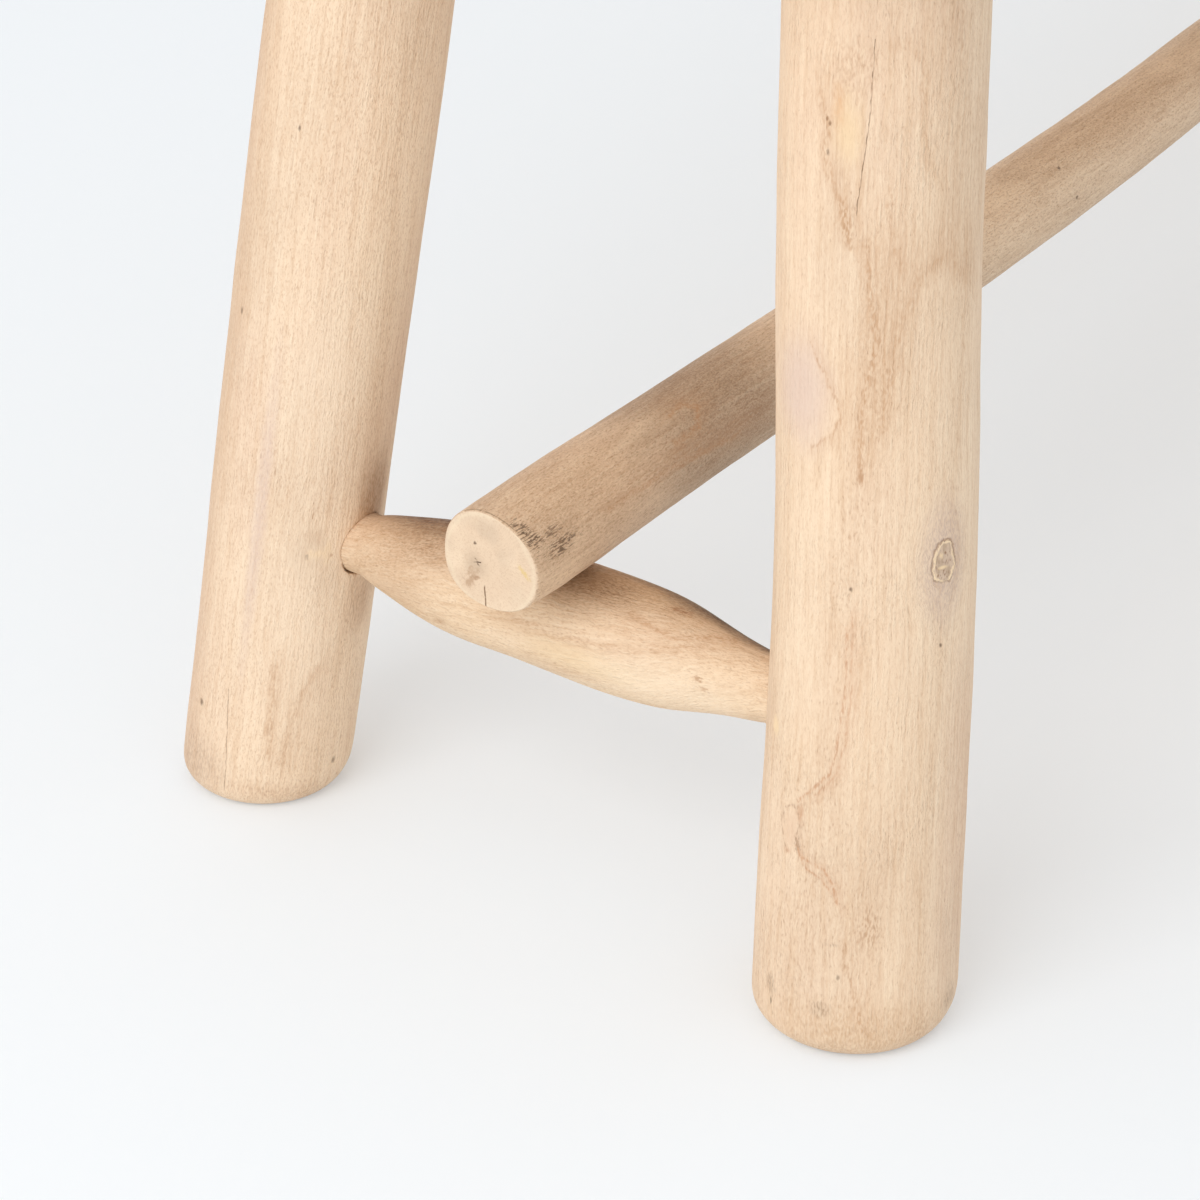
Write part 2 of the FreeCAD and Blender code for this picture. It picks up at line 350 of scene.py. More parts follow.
class Effect:
    """A shader node group with named sockets, built once and placed in each finish that uses it."""

    title: ClassVar[str] = ""
    takes: ClassVar[dict[str, Kind]] = {}
    gives: ClassVar[dict[str, Kind]] = {}

    @classmethod
    def tree(cls) -> bpy.types.NodeTree:
        """Builds the group on its first use.

        Returns:
            The group's node tree.
        """
        made = bpy.data.node_groups.get(cls.title)
        if made is not None:
            return made
        made = bpy.data.node_groups.new(cls.title, "ShaderNodeTree")
        for name, kind in cls.takes.items():
            made.interface.new_socket(name, in_out="INPUT", socket_type=kind.value)
        for name, kind in cls.gives.items():
            made.interface.new_socket(name, in_out="OUTPUT", socket_type=kind.value)
        graph = Graph(made)
        inlet = graph.add("NodeGroupInput")
        outlet = graph.add("NodeGroupOutput")
        given = {socket.name: socket for socket in inlet.outputs if socket.name}
        for name, value in cls.wire(graph, given).items():
            graph.feed(outlet.inputs[name], value)
        return made

    @classmethod
    def wire(cls, graph: Graph, given: Sockets) -> Sockets:
        """Wires the group and gives its outputs by name."""
        raise NotImplementedError


class PoleLayout(Effect):
    """Unrolls a pole: the arc from its face line and the place along it."""

    title = "Pole Layout"
    takes = Kind.VECTOR.named("Position")
    gives = Kind.VALUE.named("Around", "Along")

    @classmethod
    def wire(cls, graph: Graph, given: Sockets) -> Sockets:
        """Wires the layout from the piece's own coordinates, with the grain along Z.

        Args:
            graph: The group's graph.
            given: Its inputs by name.

        Returns:
            Its outputs by name.
        """
        across, aside, along = graph.split(given["Position"])
        out = graph.vector("LENGTH", graph.join(across, aside, 0.0))
        around = graph.times(graph.math("ARCTAN2", aside, across), out)
        return {"Around": around, "Along": along}


class GrainPush(Effect):
    """Pushes the grain round a pole, past its knots and in slow waves."""

    title = "Grain Push"
    takes = (
        Kind.VECTOR.named("Position")
        | Kind.VALUE.named("Push", "Wave", "Wave Length", "Curl", "Spiral")
    )
    gives = Kind.VECTOR.named("Position")

    @classmethod
    def wire(cls, graph: Graph, given: Sockets) -> Sockets:
        """Wires the push along the surface, square to the grain.

        Args:
            graph: The group's graph.
            given: Its inputs by name.

        Returns:
            Its outputs by name.
        """
        across, aside, along = graph.split(given["Position"])
        slow = graph.over(along, given["Wave Length"])
        spread = graph.join(graph.times(across, 25.0), graph.times(aside, 25.0), slow)
        wave = graph.sway(spread, 1.0, 2.0)
        curl = graph.sway(given["Position"], 190.0, 1.0)
        push = graph.onto(wave, given["Wave"], given["Push"])
        push = graph.onto(curl, given["Curl"], push)
        push = graph.onto(along, given["Spiral"], push)
        out = graph.vector("LENGTH", graph.join(across, aside, 0.0))
        turned = graph.add("ShaderNodeVectorRotate", rotation_type="Z_AXIS")
        graph.feed(turned.inputs["Vector"], given["Position"])
        graph.feed(turned.inputs["Angle"], graph.over(push, graph.math("MAXIMUM", out, 0.004)))
        return {"Position": turned.outputs["Vector"]}


class FibreStreaks(Effect):
    """Fine fibres and open pores that run with the grain."""

    title = "Fibre Streaks"
    takes = Kind.VECTOR.named("Position") | Kind.VALUE.named("Width", "Length")
    gives = Kind.VALUE.named("Streak", "Dashes", "Broad")

    @classmethod
    def wire(cls, graph: Graph, given: Sockets) -> Sockets:
        """Wires fine and broad layers of stretched noise, and a third for short dashes.

        Args:
            graph: The group's graph.
            given: Its inputs by name.

        Returns:
            Its outputs by name.
        """
        thin = graph.over(1.0, given["Width"])
        drawn = graph.over(1.0, given["Length"])
        spread = graph.vector("MULTIPLY", given["Position"], graph.join(thin, thin, drawn))
        place = graph.vector("MULTIPLY_ADD", spread, (0.6, 0.6, 0.1), (7.0, 3.0, 11.0))
        coarse = graph.noise(place, 1.0, 1.0, 0.5)
        fine = graph.noise(spread, 1.0, 2.0, 0.6)
        streak = graph.onto(fine, 0.55, graph.times(coarse, 0.45))
        place = graph.vector("MULTIPLY_ADD", spread, (1.0, 1.0, 2.4), (31.0, 5.0, 2.0))
        dashes = graph.noise(place, 1.0, 0.0, 0.5)
        place = graph.vector("MULTIPLY_ADD", spread, (0.18, 0.18, 0.1), (2.0, 13.0, 5.0))
        return {"Streak": streak, "Dashes": dashes, "Broad": graph.noise(place, 1.0, 2.0, 0.6)}


class GrowthFigure(Effect):
    """Growth rings cut at a slant, which show as soft flames and contour lines."""

    title = "Growth Figure"
    takes = Kind.VECTOR.named("Position", "Heart") | Kind.VALUE.named("Gap", "Wander", "Girth", "Follow")
    gives = Kind.VALUE.named("Band", "Line")

    @classmethod
    def wire(cls, graph: Graph, given: Sockets) -> Sockets:
        """Wires the distance from a wandering heart into bands that darken slowly and end sharply.

        Args:
            graph: The group's graph.
            given: Its inputs by name.

        Returns:
            Its outputs by name.
        """
        slow = graph.vector("MULTIPLY", given["Position"], (1.0, 1.0, 0.2))
        drift = graph.sway(slow, 26.0, 1.0)
        ripple = graph.sway(graph.vector("ADD", slow, (1.0, 2.0, 3.0)), 85.0, 2.0)
        across, aside, _ = graph.split(given["Position"])
        flat = graph.join(across, aside, 0.0)
        even = graph.scaled(graph.vector("NORMALIZE", flat), given["Girth"])
        held = graph.vector("ADD", flat, graph.scaled(graph.vector("SUBTRACT", even, flat), given["Follow"]))
        out = graph.vector("LENGTH", graph.vector("SUBTRACT", held, given["Heart"]))
        stray = graph.onto(ripple, 0.28, graph.times(drift, 2.0))
        ring = graph.onto(stray, given["Wander"], out)
        band = graph.math("FRACT", graph.over(ring, given["Gap"]))
        line = graph.times(graph.rise(band, 0.6, 0.9), graph.fall(band, 0.9, 1.0))
        soft = graph.times(graph.math("POWER", band, 1.4), graph.fall(band, 0.8, 1.0))
        return {"Band": soft, "Line": line}


class ToneDrift(Effect):
    """Slow changes of tone along the grain: warm, grey and pale zones."""

    title = "Tone Drift"
    takes = Kind.VECTOR.named("Position") | Kind.VALUE.named("Size")
    gives = Kind.VALUE.named("Warm", "Grey", "Pale")

    @classmethod
    def wire(cls, graph: Graph, given: Sockets) -> Sockets:
        """Wires three noises that are drawn out along the grain.

        Args:
            graph: The group's graph.
            given: Its inputs by name.

        Returns:
            Its outputs by name.
        """
        share = graph.over(1.0, given["Size"])
        spread = graph.scaled(graph.vector("MULTIPLY", given["Position"], (1.0, 1.0, 0.3)), share)
        shifts = {"Warm": (0.0, 0.0, 0.0), "Grey": (9.0, 4.0, 1.0), "Pale": (3.0, 17.0, 6.0)}
        zones = {}
        for name, shift in shifts.items():
            moved = graph.vector("ADD", spread, shift)
            zones[name] = graph.rise(graph.noise(moved, 1.0, 1.5, 0.55), 0.44, 0.72)
        return zones


class SandingChatter(Effect):
    """Small torn ripples across the grain, left by rough sanding in patches."""

    title = "Sanding Chatter"
    takes = Kind.VECTOR.named("Position") | Kind.VALUE.named("Size")
    gives = Kind.VALUE.named("Ripple")

    @classmethod
    def wire(cls, graph: Graph, given: Sockets) -> Sockets:
        """Wires short noise that comes and goes over the surface.

        Args:
            graph: The group's graph.
            given: Its inputs by name.

        Returns:
            Its outputs by name.
        """
        share = graph.over(1.0, given["Size"])
        spread = graph.scaled(graph.vector("MULTIPLY", given["Position"], (1.0, 1.0, 0.42)), share)
        ripple = graph.sway(spread, 1.0, 2.0, 0.6)
        patches = graph.rise(graph.noise(given["Position"], 34.0, 2.0), 0.4, 0.62)
        return {"Ripple": graph.times(ripple, patches)}


class KnotRings(Effect):
    """A sound knot: its heart, pale ring, dark edge and shade, and how far the grain is pushed aside."""

    title = "Knot Rings"
    takes = (
        Kind.VALUE.named("Around", "Along")
        | Kind.VECTOR.named("Place")
        | Kind.VALUE.named("Width", "Height")
    )
    gives = Kind.VALUE.named("Heart", "Ring", "Edge", "Shade", "Push")

    @classmethod
    def wire(cls, graph: Graph, given: Sockets) -> Sockets:
        """Wires the share of the knot's size that a point lies from its middle into rings.

        Args:
            graph: The group's graph.
            given: Its inputs by name.

        Returns:
            Its outputs by name.
        """
        left, low, _ = graph.split(given["Place"])
        aside = graph.over(graph.less(given["Around"], left), given["Width"])
        above = graph.over(graph.less(given["Along"], low), given["Height"])
        deep = graph.times(graph.math("ADD", left, low), 60.0)
        spot = graph.join(graph.times(aside, 2.0), graph.times(above, 2.0), deep)
        slow = graph.sway(spot, 0.9, 1.0)
        quick = graph.sway(spot, 3.4, 2.0, 0.6)
        length = graph.vector("LENGTH", graph.vector("MULTIPLY", spot, (1.0, 1.0, 0.0)))
        reach = graph.onto(quick, 0.3, graph.onto(slow, 0.6, length))
        varied = graph.noise(graph.vector("ADD", spot, (9.0, 4.0, 2.0)), 1.5, 1.0)
        inner = graph.onto(varied, 0.4, graph.less(reach, 0.2))
        heart = graph.fall(inner, 0.82, 0.92)
        ring = graph.times(graph.less(1.0, heart), graph.fall(reach, 0.96, 1.06))
        edge = graph.times(graph.rise(reach, 0.97, 1.03), graph.fall(reach, 1.05, 1.16))
        oval = graph.vector("LENGTH", graph.vector("MULTIPLY", spot, (0.9, 0.6, 0.0)))
        shade = graph.fall(oval, 0.7, 2.6)
        fade = graph.math("EXPONENT", graph.times(graph.math("POWER", reach, 2.0), -0.28))
        push = graph.times(graph.times(aside, fade), graph.times(given["Width"], -1.1))
        return {"Heart": heart, "Ring": ring, "Edge": edge, "Shade": shade, "Push": push}


class PathLine(Effect):
    """One straight run of a check or a grain line, with a ragged course."""

    title = "Path Line"
    takes = (
        Kind.VALUE.named("Around", "Along")
        | Kind.VECTOR.named("Start", "Run", "Slope", "Across")
        | Kind.VALUE.named("Width", "Stray", "Wobble")
    )
    gives = Kind.VALUE.named("Mask", "Side")

    @classmethod
    def wire(cls, graph: Graph, given: Sockets) -> Sockets:
        """Wires the distance from the run, with a shade that is wide on one side and narrow on the other.

        Args:
            graph: The group's graph.
            given: Its inputs by name.

        Returns:
            Its outputs by name.
        """
        strayed = graph.onto(given["Wobble"], given["Stray"], given["Around"])
        off = graph.vector("SUBTRACT", graph.join(strayed, given["Along"], 0.0), given["Start"])
        share = graph.vector("DOT_PRODUCT", off, given["Slope"])
        held = graph.math("MINIMUM", graph.math("MAXIMUM", share, 0.0), 1.0)
        reach = graph.vector("DISTANCE", off, graph.scaled(given["Run"], held))
        gap = graph.over(reach, given["Width"])
        turn = graph.math("GREATER_THAN", graph.vector("DOT_PRODUCT", off, given["Across"]), 0.0)
        side = graph.fall(gap, 0.0, graph.onto(turn, 5.5, 2.0))
        return {"Mask": graph.fall(gap, 0.1, 1.1), "Side": side}


class Patch(Effect):
    """A soft-edged ragged patch."""

    title = "Patch"
    takes = (
        Kind.VALUE.named("Around", "Along")
        | Kind.VECTOR.named("Place", "Size")
        | Kind.VALUE.named("Ragged", "Wobble")
    )
    gives = Kind.VALUE.named("Mask")

    @classmethod
    def wire(cls, graph: Graph, given: Sockets) -> Sockets:
        """Wires the distance from the patch's middle, made ragged.

        Args:
            graph: The group's graph.
            given: Its inputs by name.

        Returns:
            Its outputs by name.
        """
        spot = graph.join(given["Around"], given["Along"], 0.0)
        off = graph.vector("DIVIDE", graph.vector("SUBTRACT", spot, given["Place"]), given["Size"])
        across, along, _ = graph.split(off)
        flat = graph.join(graph.times(across, 2.0), graph.times(along, 2.0), 0.0)
        reach = graph.onto(given["Wobble"], given["Ragged"], graph.vector("LENGTH", flat))
        return {"Mask": graph.fall(reach, 0.15, 1.1)}


class RaggedEdge(Effect):
    """Grit and small and large wobbles, about zero on average, that break up the edges of marks."""

    title = "Ragged Edge"
    takes = Kind.VECTOR.named("Position")
    gives = Kind.VALUE.named("Grit", "Small", "Large")

    @classmethod
    def wire(cls, graph: Graph, given: Sockets) -> Sockets:
        """Wires three noises that are drawn out along the grain.

        Args:
            graph: The group's graph.
            given: Its inputs by name.

        Returns:
            Its outputs by name.
        """
        drawn = graph.vector("MULTIPLY", given["Position"], (1.0, 1.0, 0.4))
        grit = graph.sway(drawn, 1700.0, 1.0, 0.6)
        small = graph.sway(drawn, 420.0, 2.0, 0.6)
        large = graph.sway(drawn, 110.0, 3.0, 0.65)
        return {"Grit": grit, "Small": small, "Large": large}


class MildewSpecks(Effect):
    """Dark specks and short strokes of mildew along the grain."""

    title = "Mildew Specks"
    takes = Kind.VECTOR.named("Position") | Kind.VALUE.named("Size", "Amount")
    gives = Kind.VALUE.named("Mask")

    @classmethod
    def wire(cls, graph: Graph, given: Sockets) -> Sockets:
        """Wires short noise that is cut off higher where less mildew grows.

        Args:
            graph: The group's graph.
            given: Its inputs by name.

        Returns:
            Its outputs by name.
        """
        share = graph.over(1.0, given["Size"])
        drawn = graph.scaled(graph.vector("MULTIPLY", given["Position"], (1.0, 1.0, 0.17)), share)
        grown = graph.onto(given["Amount"], 0.27, graph.noise(drawn, 1.0, 2.0, 0.6))
        return {"Mask": graph.rise(grown, 0.72, 0.83)}


class EndGrain(Effect):
    """A sawn end: growth rings round the heart, fine rays, pores and the marks of the saw."""

    title = "End Grain"
    takes = Kind.VECTOR.named("Position", "Heart") | Kind.VALUE.named("Gap")
    gives = Kind.VALUE.named("Rings", "Rays", "Pores", "Saw")

    @classmethod
    def wire(cls, graph: Graph, given: Sockets) -> Sockets:
        """Wires the rings, the rays and the pores from the place across the end.

        Args:
            graph: The group's graph.
            given: Its inputs by name.

        Returns:
            Its outputs by name.
        """
        across, aside, _ = graph.split(graph.vector("SUBTRACT", given["Position"], given["Heart"]))
        flat = graph.join(across, aside, 0.0)
        out = graph.vector("LENGTH", flat)
        wobble = graph.sway(flat, 120.0, 2.0)
        ring = graph.onto(wobble, 0.0035, out)
        band = graph.math("FRACT", graph.over(ring, given["Gap"]))
        rings = graph.times(graph.rise(band, 0.35, 0.92), graph.fall(band, 0.93, 1.0))
        turn = graph.math("ARCTAN2", aside, across)
        ray_place = graph.join(graph.times(turn, 26.0), graph.times(out, 120.0), 0.0)
        rays = graph.noise(ray_place, 1.0, 3.0, 0.65)
        pores = graph.rise(graph.noise(flat, 1700.0, 1.0), 0.63, 0.75)
        saw_place = graph.join(graph.onto(aside, 0.35, across), graph.times(aside, 0.04), 0.0)
        return {"Rings": rings, "Rays": rays, "Pores": pores, "Saw": graph.noise(saw_place, 1300.0, 1.0)}


class EdgeWear(Effect):
    """Paler worn edges of a squared piece."""

    title = "Edge Wear"
    takes = Kind.VECTOR.named("Position", "Half") | Kind.VALUE.named("Width")
    gives = Kind.VALUE.named("Mask")

    @classmethod
    def wire(cls, graph: Graph, given: Sockets) -> Sockets:
        """Wires how near a point is to two faces at once, broken up by noise.

        Args:
            graph: The group's graph.
            given: Its inputs by name.

        Returns:
            Its outputs by name.
        """
        inset = graph.vector("SUBTRACT", given["Half"], graph.vector("ABSOLUTE", given["Position"]))
        first, second, third = graph.split(inset)
        low = graph.math("MINIMUM", first, second)
        high = graph.math("MAXIMUM", first, second)
        middle = graph.math("MAXIMUM", low, graph.math("MINIMUM", high, third))
        wobble = graph.onto(graph.noise(given["Position"], 90.0, 3.0), 1.4, 0.3)
        return {"Mask": graph.fall(middle, 0.0, graph.times(given["Width"], wobble))}


@dataclass(frozen=True)
class Timber:
    """One cut of timber: its colours, its figure and its surface."""

    pale: Colour = tone(240, 212, 182)
    deep: Colour = tone(225, 192, 158)
    line: Colour = tone(184, 139, 99)
    pore: Colour = tone(170, 126, 90)
    blush: Colour = tone(227, 194, 168)
    grey: Colour = tone(208, 183, 158)
    cream: Colour = tone(247, 223, 193)
    heart: tuple[float, float, float] = (0.003, -0.002, 0.0)
    girth: float = 0.033
    ring_gap: float = 0.0065
    ring_wander: float = 0.0065
    ring_show: float = 0.4
    line_show: float = 0.14
    fibre_width: float = 0.00064
    fibre_length: float = 0.0042
    fibre_show: float = 0.48
    pore_show: float = 0.24
    pore_crowd: float = 0.06
    grit_show: float = 0.16
    grit_rise: float = 0.09
    drift_size: float = 0.045
    drift_show: float = 0.45
    wave: float = 0.004
    wave_length: float = 0.09
    curl: float = 0.0012
    spiral: float = 0.0
    fibre_rise: float = 0.55
    chatter: float = 0.65
    chatter_size: float = 0.0012
    ring_follow: float = 0.85
    pore_depth: float = 0.06
    wear_width: float = 0.005
    wear_show: float = 0.5
    roughness: float = 0.62
    gloss: float = 0.28


@dataclass(frozen=True)
class Mark:
    """A mark of growth, drying or use, or a patch of painted shade, placed round and along a pole."""

    around: float = 0.0
    along: float = 0.0

    def push(self, skin: "Skin") -> Optional[Socket]:
        """Gives how far the mark pushes the grain aside, if it does."""
        return None

    def paint(self, skin: "Skin") -> None:
        """Paints the mark on a skin."""
        raise NotImplementedError

    def relief(self, around: np.ndarray, along: np.ndarray) -> np.ndarray:
        """Gives how far the mark lifts the surface at each point."""
        return np.zeros_like(around)


@dataclass(frozen=True)
class Knot(Mark):
    """A sound knot, flush or a little proud, with the grain flowing round it."""

    width: float = 0.01
    height: float = 0.016
    heart: Colour = tone(190, 164, 138)
    ring: Colour = tone(243, 215, 178)
    edge: Colour = tone(146, 106, 76)
    shade: Colour = tone(200, 176, 160)
    shade_show: float = 0.6
    ring_show: float = 0.95
    edge_show: float = 0.65
    proud: float = 0.0006

    def rings(self, skin: "Skin") -> Sockets:
        """Places the knot's rings on a skin, once.

        Args:
            skin: The skin that the knot is in.

        Returns:
            The outputs of the rings.
        """
        if self not in skin.knots:
            skin.knots[self] = skin.graph.place(
                KnotRings, Around=skin.around, Along=skin.along, Place=(self.around, self.along, 0.0),
                Width=self.width, Height=self.height,
            )
        return skin.knots[self]

    def push(self, skin: "Skin") -> Optional[Socket]:
        """Gives the push of the grain round the knot."""
        return self.rings(skin)["Push"]

    def paint(self, skin: "Skin") -> None:
        """Paints the knot's shade, dark line, pale ring and heart, in that order.

        Args:
            skin: The skin that the knot is in.
        """
        rings = self.rings(skin)
        graph = skin.graph
        grainy = graph.rise(skin.grit, -0.12, 0.1, self.shade_show, self.shade_show * 0.5)
        skin.tint(rings["Shade"], self.shade, grainy)
        broken = graph.rise(skin.small, -0.1, 0.12, self.edge_show, self.edge_show * 0.2)
        skin.tint(rings["Edge"], self.edge, broken)
        skin.tint(rings["Heart"], self.heart, graph.rise(skin.small, -0.14, 0.08, 0.95, 0.35))
        specks = graph.rise(skin.grit, -0.2, -0.06, 0.75, 0.0)
        skin.tint(rings["Heart"], self.edge, specks)
        skin.tint(rings["Ring"], self.ring, graph.rise(skin.grit, -0.2, 0.0, 0.3, self.ring_show))
        skin.lift(rings["Edge"], -0.2)
        skin.lift(rings["Ring"], 0.12)

    def relief(self, around: np.ndarray, along: np.ndarray) -> np.ndarray:
        """Lifts a low swelling with a sunken heart."""
        reach = np.hypot((around - self.around) / self.width, (along - self.along) / self.height) * 2
        return self.proud * np.exp(-((reach / 1.7) ** 2)) - 0.6 * self.proud * np.exp(-((reach / 0.6) ** 2))


@dataclass(frozen=True)
class PathMark(Mark):
    """A mark that follows a path round and along the piece."""

    path: tuple[Pair, ...] = ()
    width: float = 0.001
    stray: float = 0.003

    @classmethod
    def through(cls, *points: Pair, **look: Any) -> "PathMark":
        """Draws the mark through points round and along the piece, in millimetres."""
        return cls(path=tuple((around * MM, along * MM) for around, along in points), **look)


@dataclass(frozen=True)
class Check(PathMark):
    """A drying check."""

    width: float = 0.00026
    depth: float = 0.0001
    colour: Colour = tone(122, 88, 60)
    show: float = 0.85

    def paint(self, skin: "Skin") -> None:
        """Paints each run of the check and sinks it.
        """
        graph = skin.graph
        course, _ = skin.course(self)
        open_part = graph.times(course, graph.rise(skin.small, -0.16, 0.06, 0.3, 1.0))
        skin.tint(open_part, self.colour, self.show)
        skin.lift(open_part, -self.depth / MM)


@dataclass(frozen=True)
class GrainLine(PathMark):
    """A brown growth line, speckled, with a soft shade on one side of it."""

    width: float = 0.0016
    colour: Colour = tone(190, 143, 102)
    show: float = 0.4
    shade: float = 0.22
    stray: float = 0.005

    def paint(self, skin: "Skin") -> None:
        """Paints each run of the line, broken up by the fibres.

        Args:
            skin: The skin that the line is in.
        """
        graph = skin.graph
        course, side = skin.course(self)
        soft = graph.times(side, graph.rise(skin.streak, 0.38, 0.62, self.shade, self.shade * 0.5))
        skin.tint(soft, self.colour)
        broken = graph.times(course, graph.rise(skin.dashes, 0.4, 0.62, 0.15, 1.0))
        skin.tint(broken, self.colour, self.show)


@dataclass(frozen=True)
class StainAndShade(Mark):
    """A soft patch of another tone: a stain, a patch of painted shade, or a small pit where it is sunk."""

    width: float = 0.01
    height: float = 0.02
    colour: Colour = tone(222, 188, 170)
    show: float = 0.5
    ragged: float = 0.5
    streaked: float = 0.0
    sunk: float = 0.0

    @classmethod
    def at(
        cls, around: float, along: float, width: float, height: float, colour: Colour, show: float,
        sunk: float = 0, **edge: float,
    ) -> "StainAndShade":
        """Places a patch by its middle and its size, in millimetres."""
        return cls(around * MM, along * MM, width * MM, height * MM, colour, show, sunk=sunk * MM, **edge)

    def paint(self, skin: "Skin") -> None:
        """Paints the patch, broken up by the fibres where it is streaked.

        Args:
            skin: The skin that the patch is on.
        """
        graph = skin.graph
        patch = skin.patch(self)
        mask = graph.times(patch, self.show)
        if self.streaked:
            mask = graph.times(mask, graph.rise(skin.dashes, 0.42, 0.64, 1.0 - self.streaked, 1.0))
        skin.tint(mask, self.colour)

    def relief(self, around: np.ndarray, along: np.ndarray) -> np.ndarray:
        """Sinks a pit or a dent."""
        reach = np.hypot((around - self.around) / self.width, (along - self.along) / self.height) * 2
        return -self.sunk * np.exp(-(reach**2))


@dataclass(frozen=True)
class Rim(Mark):
    """A ring of another tone round a sawn end."""

    radius: float = 0.017
    width: float = 0.001
    colour: Colour = tone(245, 220, 187)
    show: float = 0.5

    def paint(self, skin: "Skin") -> None:
        """Paints the ring, uneven round the end.

        Args:
            skin: The skin of the end.
        """
        graph = skin.graph
        out = graph.vector("LENGTH", graph.join(skin.around, skin.along, 0.0))
        strayed = graph.onto(skin.large, 0.004, out)
        off = graph.math("ABSOLUTE", graph.less(strayed, self.radius))
        skin.tint(graph.rise(off, 0.0, self.width, self.show, 0.0), self.colour)


@dataclass(frozen=True)
class Mildew(Mark):
    """Dark specks in a patch."""

    width: float = 0.02
    height: float = 0.03
    size: float = 0.0005
    colour: Colour = tone(62, 48, 38)
    show: float = 0.85
    ragged: float = 1.2

    def paint(self, skin: "Skin") -> None:
        """Paints the specks where the patch lies.

        Args:
            skin: The skin that the specks are on.
        """
        graph = skin.graph
        patch = skin.patch(self)
        specks = graph.place(MildewSpecks, Position=skin.position, Size=self.size, Amount=patch)
        shown = graph.times(graph.times(specks["Mask"], patch), self.show)
        skin.tint(shown, self.colour)


